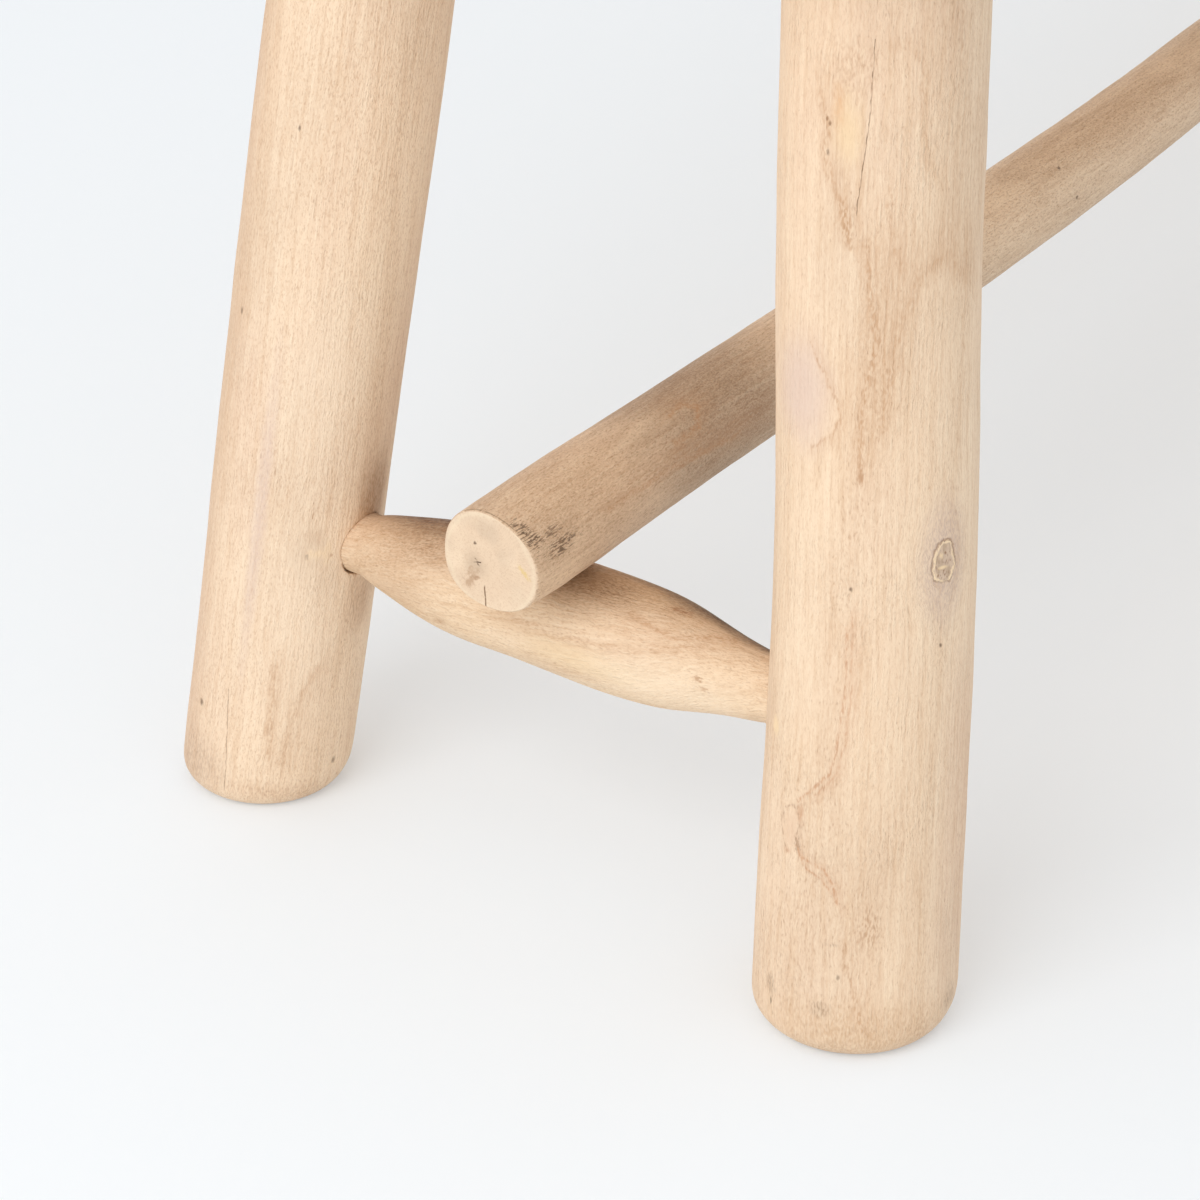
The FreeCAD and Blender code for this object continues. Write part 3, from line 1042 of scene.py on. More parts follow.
class Skin:
    """The finish of one wooden surface, painted layer by layer in its own material."""

    def __init__(
        self, name: str, timber: Timber, wrap: Wrap, place: Matrix, marks: Sequence[Mark] = (),
        shift: float = 0.0, worn: Optional[tuple[Vector, Vector]] = None,
    ) -> None:
        """Starts the finish.

        Args:
            name: The material's name.
            timber: The timber it is cut from.
            wrap: How the surface is laid out.
            place: The piece's own axes, with Z along its grain.
            marks: The marks on it.
            shift: How far along the grain the timber is read, so that no two pieces match.
            worn: The middle and half the size of the box whose edges are worn, for a squared piece.
        """
        self.worn = worn
        self.material = bpy.data.materials.new(name)
        self.graph = Graph.of(self.material)
        self.timber = timber
        self.wrap = wrap
        self.marks = marks
        self.shift = shift
        axes = self.graph.add("ShaderNodeMapping", vector_type="TEXTURE")
        axes.inputs["Location"].default_value = place.translation
        axes.inputs["Rotation"].default_value = place.to_euler()
        self.graph.feed(axes.inputs["Vector"], self.graph.add("ShaderNodeTexCoord").outputs["Object"])
        self.position = axes.outputs["Vector"]
        across, aside, along = self.graph.split(self.position)
        self.around, self.along = (across, aside) if wrap is Wrap.CUT else (aside, along)
        if wrap is Wrap.ROUND:
            layout = self.graph.place(PoleLayout, Position=self.position)
            self.around, self.along = layout["Around"], layout["Along"]
        ragged = self.graph.place(RaggedEdge, Position=self.position)
        self.grit, self.small, self.large = ragged["Grit"], ragged["Small"], ragged["Large"]
        self.knots: dict[Knot, Sockets] = {}
        self.streak: Feed = 0.5
        self.dashes: Feed = 0.5
        self.colour: Feed = timber.pale
        self.height: Feed = 0.0

    def tint(self, mask: Feed, colour: Feed, show: Optional[Feed] = None) -> None:
        """Lays a colour over what is painted so far, or a share of it."""
        share = mask if show is None else self.graph.times(mask, show)
        self.colour = self.graph.mix(share, self.colour, colour)

    def lift(self, mask: Feed, height: float) -> None:
        """Raises the surface by a number of millimetres where a mask is full."""
        self.height = self.graph.onto(mask, height, self.height)

    def course(self, mark: PathMark) -> tuple[Socket, Socket]:
        """Places the runs of a line.

        Args:
            mark: The line.

        Returns:
            The line's mask and the mask of the shade beside it.
        """
        masks: dict[str, Feed] = {"Mask": 0.0, "Side": 0.0}
        points = [Vector((*point, 0.0)) for point in mark.path]
        for start, stop in zip(points, points[1:]):
            ahead = stop - start
            run = self.graph.place(
                PathLine, Around=self.around, Along=self.along, Start=start, Run=ahead,
                Slope=ahead / ahead.length_squared, Across=(-ahead.y, ahead.x, 0.0), Width=mark.width,
                Stray=mark.stray, Wobble=self.small,
            )
            masks = {name: self.graph.math("MAXIMUM", mask, run[name]) for name, mask in masks.items()}
        return masks["Mask"], masks["Side"]

    def patch(self, mark: Union[StainAndShade, Mildew]) -> Socket:
        """Places the soft patch of a mark, with a wobble to suit its width.

        Args:
            mark: The mark.

        Returns:
            The patch's mask.
        """
        wobble = self.large
        if mark.width < SMALL_PATCH:
            wobble = self.grit if mark.width < TINY_PATCH else self.small
        return self.graph.place(
            Patch, Around=self.around, Along=self.along, Place=(mark.around, mark.along, 0.0),
            Size=(mark.width, mark.height, 1.0), Ragged=mark.ragged, Wobble=wobble,
        )["Mask"]

    def paint_grain(self) -> None:
        """Paints fibres, pores, growth figure and slow changes of tone along the grain."""
        graph = self.graph
        timber = self.timber
        push: Feed = 0.0
        for mark in self.marks:
            given = mark.push(self)
            push = push if given is None else graph.math("ADD", push, given)
        grain = graph.place(
            GrainPush, Position=self.position, Push=push, Wave=timber.wave, Wave_Length=timber.wave_length,
            Curl=timber.curl, Spiral=timber.spiral,
        )
        moved = graph.vector("ADD", grain["Position"], (0.0, 0.0, self.shift))
        fibres = graph.place(
            FibreStreaks, Position=moved, Width=timber.fibre_width, Length=timber.fibre_length
        )
        figure = graph.place(
            GrowthFigure, Position=moved, Heart=timber.heart, Gap=timber.ring_gap,
            Wander=timber.ring_wander, Girth=timber.girth,
            Follow=timber.ring_follow if self.wrap is Wrap.ROUND else 0.0,
        )
        drift = graph.place(ToneDrift, Position=moved, Size=timber.drift_size)
        chatter = graph.place(SandingChatter, Position=moved, Size=timber.chatter_size)
        self.streak = fibres["Streak"]
        self.dashes = fibres["Dashes"]
        crowd = graph.times(graph.math("ADD", figure["Line"], drift["Warm"]), timber.pore_crowd)
        pores = graph.rise(graph.math("ADD", self.dashes, crowd), 0.75, 0.87)
        self.tint(figure["Band"], timber.deep, timber.ring_show)
        self.tint(drift["Warm"], timber.blush, timber.drift_show)
        self.tint(drift["Grey"], timber.grey, timber.drift_show * 0.7)
        self.tint(drift["Pale"], timber.cream, timber.drift_show * 0.8)
        self.tint(graph.rise(fibres["Broad"], 0.3, 0.5, timber.fibre_show * 0.8, 0.0), timber.deep)
        self.tint(graph.rise(fibres["Broad"], 0.5, 0.7, 0.0, timber.fibre_show * 0.6), timber.cream)
        self.tint(graph.rise(self.streak, 0.34, 0.5, timber.fibre_show * 0.45, 0.0), timber.line)
        self.tint(graph.rise(self.streak, 0.5, 0.66, 0.0, timber.fibre_show), timber.cream)
        self.tint(graph.rise(self.grit, -0.22, 0.0, timber.grit_show, 0.0), timber.line)
        broken = graph.times(figure["Line"], graph.rise(self.dashes, 0.4, 0.62, 0.2, 1.0))
        self.tint(broken, timber.line, timber.line_show)
        self.tint(pores, timber.pore, timber.pore_show)
        if self.worn is not None:
            middle, half = self.worn
            off = graph.vector("SUBTRACT", self.position, middle)
            edges = graph.place(EdgeWear, Position=off, Half=half, Width=timber.wear_width)
            self.tint(edges["Mask"], timber.cream, timber.wear_show)
        self.lift(self.streak, timber.fibre_rise)
        self.lift(self.grit, timber.grit_rise)
        self.lift(pores, -timber.pore_depth)
        self.lift(chatter["Ripple"], timber.chatter)

    def paint_cut(self) -> None:
        """Paints rings, rays, pores and saw marks across a sawn end."""
        graph = self.graph
        timber = self.timber
        cut = graph.place(EndGrain, Position=self.position, Heart=timber.heart, Gap=timber.ring_gap)
        drift = graph.place(ToneDrift, Position=self.position, Size=0.014)
        self.streak = cut["Rays"]
        self.dashes = cut["Rays"]
        self.tint(cut["Rings"], timber.deep, timber.ring_show)
        self.tint(drift["Grey"], timber.grey, timber.drift_show)
        self.tint(drift["Pale"], timber.cream, timber.drift_show)
        self.tint(graph.rise(cut["Rays"], 0.34, 0.55, 0.2, 0.0), timber.deep)
        self.tint(graph.rise(self.grit, -0.2, 0.0, 0.2, 0.0), timber.line)
        self.tint(cut["Pores"], timber.pore, timber.pore_show * 0.3)
        self.lift(cut["Saw"], 0.05)
        self.lift(self.grit, 0.12)
        self.lift(cut["Pores"], -0.02)

    def build(self) -> bpy.types.Material:
        """Paints the grain and the marks and joins them to the shader.

        Returns:
            The finished material.
        """
        if self.wrap is Wrap.CUT:
            self.paint_cut()
        else:
            self.paint_grain()
        for mark in self.marks:
            mark.paint(self)
        graph = self.graph
        shader = graph.add("ShaderNodeBsdfPrincipled")
        bump = graph.add("ShaderNodeBump")
        graph.fill(bump, Strength=1.0, Distance=MM, Height=self.height)
        rough = graph.rise(self.streak, 0.3, 0.7, self.timber.roughness + 0.08, self.timber.roughness - 0.06)
        graph.fill(shader, Base_Color=self.colour, Roughness=rough, Specular_IOR_Level=self.timber.gloss)
        graph.feed(shader.inputs["Normal"], bump.outputs["Normal"])
        output = graph.add("ShaderNodeOutputMaterial")
        graph.feed(output.inputs["Surface"], shader.outputs["BSDF"])
        return self.material


@dataclass(frozen=True)
class GrainFrame:
    """A piece's own axes: Z along its grain, X towards its best face."""

    origin: Vector
    along: Vector
    face: Vector

    def matrix(self) -> Matrix:
        """Gives the piece's place in the bench.

        Returns:
            The matrix from the piece's axes to the bench's.
        """
        along = self.along.normalized()
        face = (self.face - along * self.face.dot(along)).normalized()
        aside = along.cross(face)
        turn = Matrix((face, aside, along)).transposed().to_4x4()
        return Matrix.Translation(self.origin) @ turn


def node_points(node: str) -> np.ndarray:
    """Gives the points of a CAD node."""
    return np.array([vertex.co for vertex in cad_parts[node].data.vertices])


def node_box(node: str) -> tuple[Vector, Vector]:
    """Gives the low and the high corner of a CAD node."""
    low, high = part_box(node)
    return Vector(low), Vector(high)


def full_turn(count: int) -> np.ndarray:
    """Gives evenly spaced angles all round."""
    return np.linspace(0, 2 * math.pi, count, endpoint=False)


class Survey:
    """Measures a CAD pole: its middle and its girth, slice by slice."""

    rays: ClassVar[int] = 48
    passes: ClassVar[int] = 4
    hole_share: ClassVar[float] = 0.3
    least_miss: ClassVar[float] = 0.0002
    spread: ClassVar[float] = 2.2

    def __init__(self, node: str, start: Vector, stop: Vector, face: Vector, flat: bool) -> None:
        """Sets up the slices.

        Args:
            node: The CAD node.
            start: A point on its axis.
            stop: Another point, further along.
            face: The direction that angles count from.
            flat: Whether slices are level, as in a leg, or square to the axis.
        """
        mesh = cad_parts[node].data
        points = [vertex.co.copy() for vertex in mesh.vertices]
        self.tree = BVHTree.FromPolygons(points, [tuple(polygon.vertices) for polygon in mesh.polygons])
        self.start = start
        self.run = (stop - start) / ((stop - start).z if flat else (stop - start).length)
        normal = Vector((0, 0, 1)) if flat else self.run.normalized()
        self.first = (face - normal * face.dot(normal)).normalized()
        self.second = normal.cross(self.first)
        self.angles = full_turn(self.rays)
        self.directions = [self.first * math.cos(a) + self.second * math.sin(a) for a in self.angles]

    def cast(self, middle: Vector, reach: float) -> np.ndarray:
        """Casts rays in to a point from all round.

        Args:
            middle: The point.
            reach: How far out the rays start.

        Returns:
            The surface's distance from the point at each angle.
        """
        distances = np.full(len(self.angles), np.nan)
        for index, direction in enumerate(self.directions):
            hit = self.tree.ray_cast(middle + direction * reach, -direction, reach)
            if hit[0] is not None:
                distances[index] = reach - hit[3]
        return distances

    def terms(self, angles: np.ndarray) -> np.ndarray:
        """Gives the round, off-centre and oval terms of a section.

        Args:
            angles: The angles wanted.

        Returns:
            The terms at each angle.
        """
        waves = [np.ones_like(angles)]
        for turns in (1, 2):
            waves += [np.cos(turns * angles), np.sin(turns * angles)]
        return np.stack(waves, axis=-1)

    def fit(self, distances: np.ndarray) -> np.ndarray:
        """Fits a smooth section, without the holes and notches that are cut in it.

        Args:
            distances: Measured distances.

        Returns:
            The section's terms.
        """
        kept = np.isfinite(distances)
        middle = np.median(distances[kept])
        kept &= np.abs(np.where(kept, distances, middle) - middle) < self.hole_share * middle
        terms = self.terms(self.angles)
        for _ in range(self.passes):
            found = np.linalg.lstsq(terms[kept], distances[kept], rcond=None)[0]
            miss = np.where(np.isfinite(distances), distances, middle) - terms @ found
            limit = max(self.least_miss, self.spread * float(np.std(miss[kept])))
            kept = np.isfinite(distances) & (np.abs(miss) < limit)
        return found

    def slice(self, station: float, reach: float) -> tuple[Vector, np.ndarray]:
        """Measures one slice.

        Args:
            station: Its place along the axis.
            reach: How far out rays start.

        Returns:
            The slice's middle and the terms of its section.
        """
        middle = self.start + self.run * station
        found = self.fit(self.cast(middle, reach))
        middle = middle + self.first * found[1] + self.second * found[2]
        return middle, self.fit(self.cast(middle, reach))

    def ring(self, middle: Vector, section: np.ndarray, angles: np.ndarray) -> np.ndarray:
        """Gives the points of a slice.

        Args:
            middle: Its middle.
            section: Its terms.
            angles: The angles wanted.

        Returns:
            One point for each angle.
        """
        radius = self.terms(angles) @ section
        arms = np.outer(np.cos(angles), self.first) + np.outer(np.sin(angles), self.second)
        return np.array(middle) + arms * radius[:, None]


class Shape:
    """Small helpers that turn rings of points into closed meshes and carve them."""

    @staticmethod
    def loft(name: str, rings: np.ndarray, caps: tuple[int, int] = (0, 0)) -> Piece:
        """Skins rings of points and closes both ends.

        Args:
            name: The object's name.
            rings: Points by row and column.
            caps: How many rows at each end belong to the sawn ends.

        Returns:
            The object, in the scene.
        """
        rows, columns, _ = rings.shape
        points = np.concatenate([rings.reshape(-1, 3), rings[0].mean(0)[None], rings[-1].mean(0)[None]])
        row, column = np.meshgrid(np.arange(rows - 1), np.arange(columns), indexing="ij")
        beside = (column + 1) % columns
        here, above = row * columns, (row + 1) * columns
        corners = [here + column, here + beside, above + beside, above + column]
        quads = np.stack(corners, axis=-1).reshape(-1, 4)
        faces = quads.tolist()
        low, high = rows * columns, rows * columns + 1
        for index in range(columns):
            after = (index + 1) % columns
            faces.append((low, after, index))
            faces.append((high, (rows - 1) * columns + index, (rows - 1) * columns + after))
        mesh = bpy.data.meshes.new(name)
        mesh.from_pydata(points.tolist(), [], faces)
        slots = np.zeros(len(faces), dtype=np.int32)
        slots[: caps[0] * columns] = 1
        slots[(rows - 1 - caps[1]) * columns :] = 1
        if not caps[0]:
            slots[len(quads) :: 2] = 0
        mesh.polygons.foreach_set("material_index", slots)
        made = bpy.data.objects.new(name, mesh)
        bpy.context.scene.collection.objects.link(made)
        return made

    @staticmethod
    def drum(name: str, start: Vector, stop: Vector, radius: float, columns: int = 96) -> Piece:
        """Makes a plain round cutter.

        Args:
            name: Its name.
            start: The middle of one end.
            stop: The middle of the other.
            radius: Its radius.
            columns: How many sides it has.

        Returns:
            The cutter.
        """
        along = (stop - start).normalized()
        first = along.orthogonal().normalized()
        second = along.cross(first)
        angles = full_turn(columns)
        circle = (np.outer(np.cos(angles), first) + np.outer(np.sin(angles), second)) * radius
        rings = np.stack([np.array(start) + circle, np.array(stop) + circle])
        return Shape.loft(name, rings)

    @staticmethod
    def swollen(node: str, swell: Vector, rise: float = 0.0) -> Piece:
        """Copies a CAD node as a cutter, a little larger.

        Args:
            node: The CAD node.
            swell: How much larger each half is along each axis.
            rise: How much further its top goes.

        Returns:
            The cutter.
        """
        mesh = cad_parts[node].data.copy()
        low, high = node_box(node)
        middle = (low + high) / 2
        half = (high - low) / 2
        for vertex in mesh.vertices:
            off = vertex.co - middle
            grown = Vector([off[i] * (1 + swell[i] / half[i]) for i in range(3)])
            if off.z > half.z * 0.9:
                grown.z += rise
            vertex.co = middle + grown
        mesh.materials.clear()
        cutter = bpy.data.objects.new("cut_" + node, mesh)
        bpy.context.scene.collection.objects.link(cutter)
        return cutter

    @staticmethod
    def carve(
        piece: Piece, cutters: Sequence[Piece], skins: Sequence[bpy.types.Material], sharp: float
    ) -> None:
        """Dresses a piece, cuts its joints and removes the cutters.

        Args:
            piece: The object to cut.
            cutters: Closed objects to take away from it.
            skins: Its materials in order.
            sharp: The angle in degrees beyond which an edge stays sharp.
        """
        for skin in skins:
            piece.data.materials.append(skin)
        for cutter in cutters:
            step = piece.modifiers.new("cut", "BOOLEAN")
            step.operation = "DIFFERENCE"
            step.solver = "EXACT"
            step.object = cutter
        bpy.context.view_layer.update()
        graph = bpy.context.evaluated_depsgraph_get()
        carved = bpy.data.meshes.new_from_object(piece.evaluated_get(graph))
        old = piece.data
        piece.modifiers.clear()
        piece.data = carved
        bpy.data.meshes.remove(old)
        carved.name = piece.name
        for cutter in cutters:
            mesh = cutter.data
            bpy.data.objects.remove(cutter)
            bpy.data.meshes.remove(mesh)
        carved.polygons.foreach_set("use_smooth", [True] * len(carved.polygons))
        carved.set_sharp_from_angle(angle=math.radians(sharp))
        carved.update()


@dataclass
class Pole:
    """A round-grown piece, measured from its CAD node and made again with its own unevenness."""

    node: str
    slot: str
    timber: Timber
    cut: Timber
    marks: Sequence[Mark] = ()
    end_marks: Sequence[Mark] = ()
    seed: int = 1
    columns: int = 160
    row_gap: float = 0.002
    swell: float = 1.0
    shift: float = 0.0
    fade: Pair = (0.001, 0.012)

    def frame(self) -> GrainFrame:
        """Gives the pole's own axes."""
        raise NotImplementedError

    def rings(self) -> tuple[np.ndarray, tuple[int, int]]:
        """Gives the pole's rings, and how many rows at each end belong to the sawn ends."""
        raise NotImplementedError

    def cutters(self) -> list[Piece]:
        """Gives what is cut out of the pole."""
        return []

    def unevenness(self, around: np.ndarray, along: np.ndarray, radius: np.ndarray) -> np.ndarray:
        """Gives the slow swells of a hand-sanded pole and the relief of its marks.

        Args:
            around: Arc from the face line.
            along: Place along the pole.
            radius: Distance from the heart.

        Returns:
            How far each point moves out.
        """
        random = np.random.default_rng(self.seed)
        angle = around / radius
        lift = np.zeros_like(around)
        for turns, length, height in SWELLS:
            first, second = random.uniform(0, 2 * math.pi, 2)
            wave = np.cos(turns * angle + first + along * random.uniform(-8, 8))
            lift += height * MM * self.swell * wave * np.cos(2 * math.pi * along / length + second)
        for mark in self.marks:
            lift += mark.relief(around, along)
        return lift

    def faded(self, stations: np.ndarray, length: float) -> np.ndarray:
        """Gives how much of the unevenness each row takes, with none near the ends."""
        low, high = self.fade
        return ease(stations, low, high) * (1 - ease(stations, length - high, length - low))

    def roughen(self, rings: np.ndarray, shown: np.ndarray) -> np.ndarray:
        """Moves the points of the rings out or in.

        Args:
            rings: Points by row and column, in the bench's axes.
            shown: How much of the unevenness each row takes.

        Returns:
            The moved points.
        """
        back = np.array(self.frame().matrix().inverted())
        local = rings @ back[:3, :3].T + back[:3, 3]
        radius = np.maximum(np.hypot(local[..., 0], local[..., 1]), MM)
        around = np.arctan2(local[..., 1], local[..., 0]) * radius
        lift = self.unevenness(around, local[..., 2], radius) * shown[:, None]
        middle = rings.mean(axis=1, keepdims=True)
        arm = rings - middle
        length = np.maximum(np.linalg.norm(arm, axis=-1, keepdims=True), MM)
        return rings + arm / length * lift[..., None]

    @staticmethod
    def capped(ring: np.ndarray, shares: Sequence[float]) -> list[np.ndarray]:
        """Gives rings that shrink a ring to its middle, one for each share."""
        middle = ring.mean(axis=0)
        return [middle + (ring - middle) * share for share in shares]

    def build(self) -> Piece:
        """Makes the pole, cuts its joints and dresses it.

        Returns:
            The pole.
        """
        rings, caps = self.rings()
        piece = Shape.loft(self.node + "_wood", rings, caps)
        place = self.frame().matrix()
        side = Skin(self.node + "_side", self.timber, Wrap.ROUND, place, self.marks, self.shift)
        end = Skin(self.node + "_end", self.cut, Wrap.CUT, place, self.end_marks, self.shift)
        Shape.carve(piece, self.cutters(), (side.build(), end.build()), POLE_SHARP)
        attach(piece, BODY)
        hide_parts(self.node)
        LOG.info("%s: %d faces", piece.name, len(piece.data.polygons))
        return piece


@dataclass
class Leg(Pole):
    """A splayed leg: a level-sawn foot, a shoulder under the seat and a wedged tenon through it."""

    side: Side = Side.FRONT
    end: End = End.LEFT
    columns: int = 208
    foot_rows: tuple[float, ...] = (0.08, 0.35, 0.9, 1.7, 2.8, 4.2, 5.8, 7.6, 9.6, 11.8, 14.0, 16.0)
    foot_rises: Pair = (0.008, 0.014)
    foot_easing: float = 0.008
    cap_shares: tuple[float, ...] = (0.08, 0.3, 0.55, 0.78, 0.94, 0.99)
    crown_shares: tuple[float, ...] = (0.85, 0.6, 0.35, 0.12)
    reach: float = 0.06
    underside: float = 0.415
    tenon_ease: float = 0.0006
    hole_radius: float = 0.01156
    chip_radius: float = 0.008
    chip_shift: Pair = (0.003, 0.0033)
    chip_start: float = 0.02
    bore_length: float = 0.06
    bore_play: float = 0.0006
    kerf_play: Pair = (0.0001, 0.0016)
    kerf_rise: float = 0.003
    facing: Pair = (0.817, -0.577)

    def axis(self) -> tuple[Vector, Vector]:
        """Finds the leg's axis from the CAD node's foot and tenon.

        Returns:
            The middle of the foot and the middle of the tenon's top.
        """
        points = node_points(self.node)
        top = points[:, 2].max()
        ends = []
        for low, high in ((-MM, 0.2 * MM), (top - 0.2 * MM, top + MM)):
            kept = points[(points[:, 2] > low) & (points[:, 2] < high)]
            ends.append(Vector((kept.min(0) + kept.max(0)) / 2))
        ends[0].z, ends[1].z = 0.0, float(top)
        return ends[0], ends[1]

    def frame(self) -> GrainFrame:
        """Finds the leg's axes.

        Returns:
            The axes, facing away from the bench at its own end.
        """
        foot, top = self.axis()
        sign = -1 if self.end is End.LEFT else 1
        return GrainFrame(foot, top - foot, Vector((sign * self.facing[0], self.facing[1], 0)))

    def level(self, survey: Survey, height: float, rise: float, angles: np.ndarray) -> np.ndarray:
        """Measures one level ring, with the foot's eased edge drawn out or kept.

        Args:
            survey: What measures the CAD node.
            height: The ring's height.
            rise: How high the eased edge reaches.
            angles: The turn of each point.

        Returns:
            The ring's points.
        """
        read = height * self.foot_easing / rise if height < rise else height
        middle, section = survey.slice(read, self.reach)
        return survey.ring(middle + survey.run * (height - read), section, angles)

    def rings(self) -> tuple[np.ndarray, tuple[int, int]]:
        """Measures the leg in level slices from the foot to the top of the tenon.

        Returns:
            The rings, and how many rows at each end are sawn faces.
        """
        foot, top = self.axis()
        axes = self.frame()
        survey = Survey(self.node, foot, top, axes.face, True)
        angles = full_turn(self.columns)
        low = [row * MM for row in self.foot_rows]
        body = np.arange(low[-1] + self.row_gap, self.underside - 1.5 * self.row_gap, self.row_gap)
        heights = np.concatenate([low, body, [self.underside - 0.001, self.underside - 0.0002]])
        tight, loose = self.foot_rises
        share = 0.5 - 0.5 * np.sin(angles)[:, None]
        rows = []
        for height in heights:
            ring = self.level(survey, height, loose, angles)
            if height < loose:
                ring = ring + (self.level(survey, height, tight, angles) - ring) * share
            rows.append(ring)
        smooth_top = ease(heights, self.underside - 0.012, self.underside)
        shown = list(ease(heights, 0.002, 0.014) * (1 - smooth_top))
        tenon = np.linspace(self.underside + 0.004, top.z - 0.002, 14)
        sections = [survey.slice(height, self.reach) for height in tenon]
        section = np.median([terms for _, terms in sections], axis=0)
        section[1:] = 0
        stubs = [self.underside, *tenon[1:-1], top.z - self.tenon_ease, top.z]
        for height in stubs:
            middle = survey.start + survey.run * height
            inset = self.tenon_ease if height == top.z else 0.0
            rows.append(survey.ring(middle, section - np.array([inset, 0, 0, 0, 0]), angles))
        shown += [0.0] * len(stubs)
        body_rings = self.roughen(np.array(rows), np.array(shown))
        flat = body_rings[0].copy()
        flat[:, 2] = 0.0
        cap = self.capped(flat, self.cap_shares)
        crown = self.capped(body_rings[-1], self.crown_shares)
        return np.concatenate([np.array(cap), body_rings, np.array(crown)]), (len(cap), len(crown))

    def cutters(self) -> list[Piece]:
        """Bores the mortise for the cross stretcher, chipped below, and saws the kerf for the wedge.

        Returns:
            The cutters.
        """
        cross = "cross_stretcher_" + self.end.value
        low, high = node_box(cross)
        middle = (low + high) / 2
        tip = low.y if self.side is Side.FRONT else high.y
        inner = tip - math.copysign(self.bore_length, tip)
        hole = Shape.drum(
            "cut_mortise", Vector((middle.x, tip + math.copysign(self.bore_play, tip), middle.z)),
            Vector((middle.x, inner, middle.z)), self.hole_radius,
        )
        outward, drop = self.chip_shift
        aside = middle.x + math.copysign(outward, middle.x)
        chip = Shape.drum(
            "cut_chip", Vector((aside, tip - math.copysign(self.chip_start, tip), middle.z - drop)),
            Vector((aside, inner, middle.z - drop)), self.chip_radius,
        )
        wedge = self.node.replace("leg_", "leg_wedge_")
        kerf = Shape.swollen(wedge, Vector((*self.kerf_play, 0.0)), self.kerf_rise)
        return [hole, chip, kerf]


@dataclass
class CrossStretcher(Pole):
    """A whittled spindle between two legs, with a belly and round tenons, notched for the long pole."""

    end: End = End.LEFT
    columns: int = 136
    row_gap: float = 0.0014
    reach: float = 0.045
    tip: float = 0.0002
    notch_play: float = 0.0002
    bore_play: float = 0.0001
    bore_reach: float = 0.02
    fade: Pair = (0.045, 0.075)
    facing: Pair = (0.813, 0.582)
    cap_shares: tuple[float, ...] = (0.1, 0.4, 0.7, 0.97)

    def span(self) -> tuple[Vector, Vector]:
        """Finds the tenons' tips.

        Returns:
            The middle of the front tip and of the back tip.
        """
        low, high = node_box(self.node)
        middle = (low + high) / 2
        points = node_points(self.node)
        tips = points[points[:, 1] < low.y + 0.3 * MM]
        level = (tips.min(0) + tips.max(0)) / 2
        return Vector((level[0], low.y, level[2])), Vector((2 * middle.x - level[0], high.y, level[2]))

    def frame(self) -> GrainFrame:
        """Finds the spindle's axes.

        Returns:
            The axes, facing away from the bench.
        """
        start, stop = self.span()
        sign = -1 if self.end is End.LEFT else 1
        out, up = self.facing
        return GrainFrame((start + stop) / 2, stop - start, Vector((sign * out, 0, up)))

    def rings(self) -> tuple[np.ndarray, tuple[int, int]]:
        """Measures the spindle from tenon to tenon.

        Returns:
            The rings, and how many rows at each end are sawn faces.
        """
        start, stop = self.span()
        length = (stop - start).length
        survey = Survey(self.node, start, stop, self.frame().face, False)
        angles = full_turn(self.columns)
        stations = np.linspace(self.tip, length - self.tip, int(length / self.row_gap))
        rows = [survey.ring(*survey.slice(station, self.reach), angles) for station in stations]
        body = self.roughen(np.array(rows), self.faded(stations, length))
        first = self.capped(body[0], self.cap_shares)
        last = self.capped(body[-1], self.cap_shares[::-1])
        return np.concatenate([np.array(first), body, np.array(last)]), (len(first), len(last))

    def cutters(self) -> list[Piece]:
        """Cuts the notch that the long pole lies in and the bore of the plug.

        Returns:
            The cutters.
        """
        notch = Shape.swollen("long_stretcher", Vector((0.0, self.notch_play, self.notch_play)))
        plug_low, plug_high = node_box("screw_plug_" + self.end.value)
        centre = (plug_low + plug_high) / 2
        radius = (plug_high.x - plug_low.x) / 2 + self.bore_play
        below = Vector((centre.x, centre.y, plug_low.z - self.bore_reach))
        return [notch, Shape.drum("cut_plug", below, Vector((centre.x, centre.y, plug_high.z)), radius)]


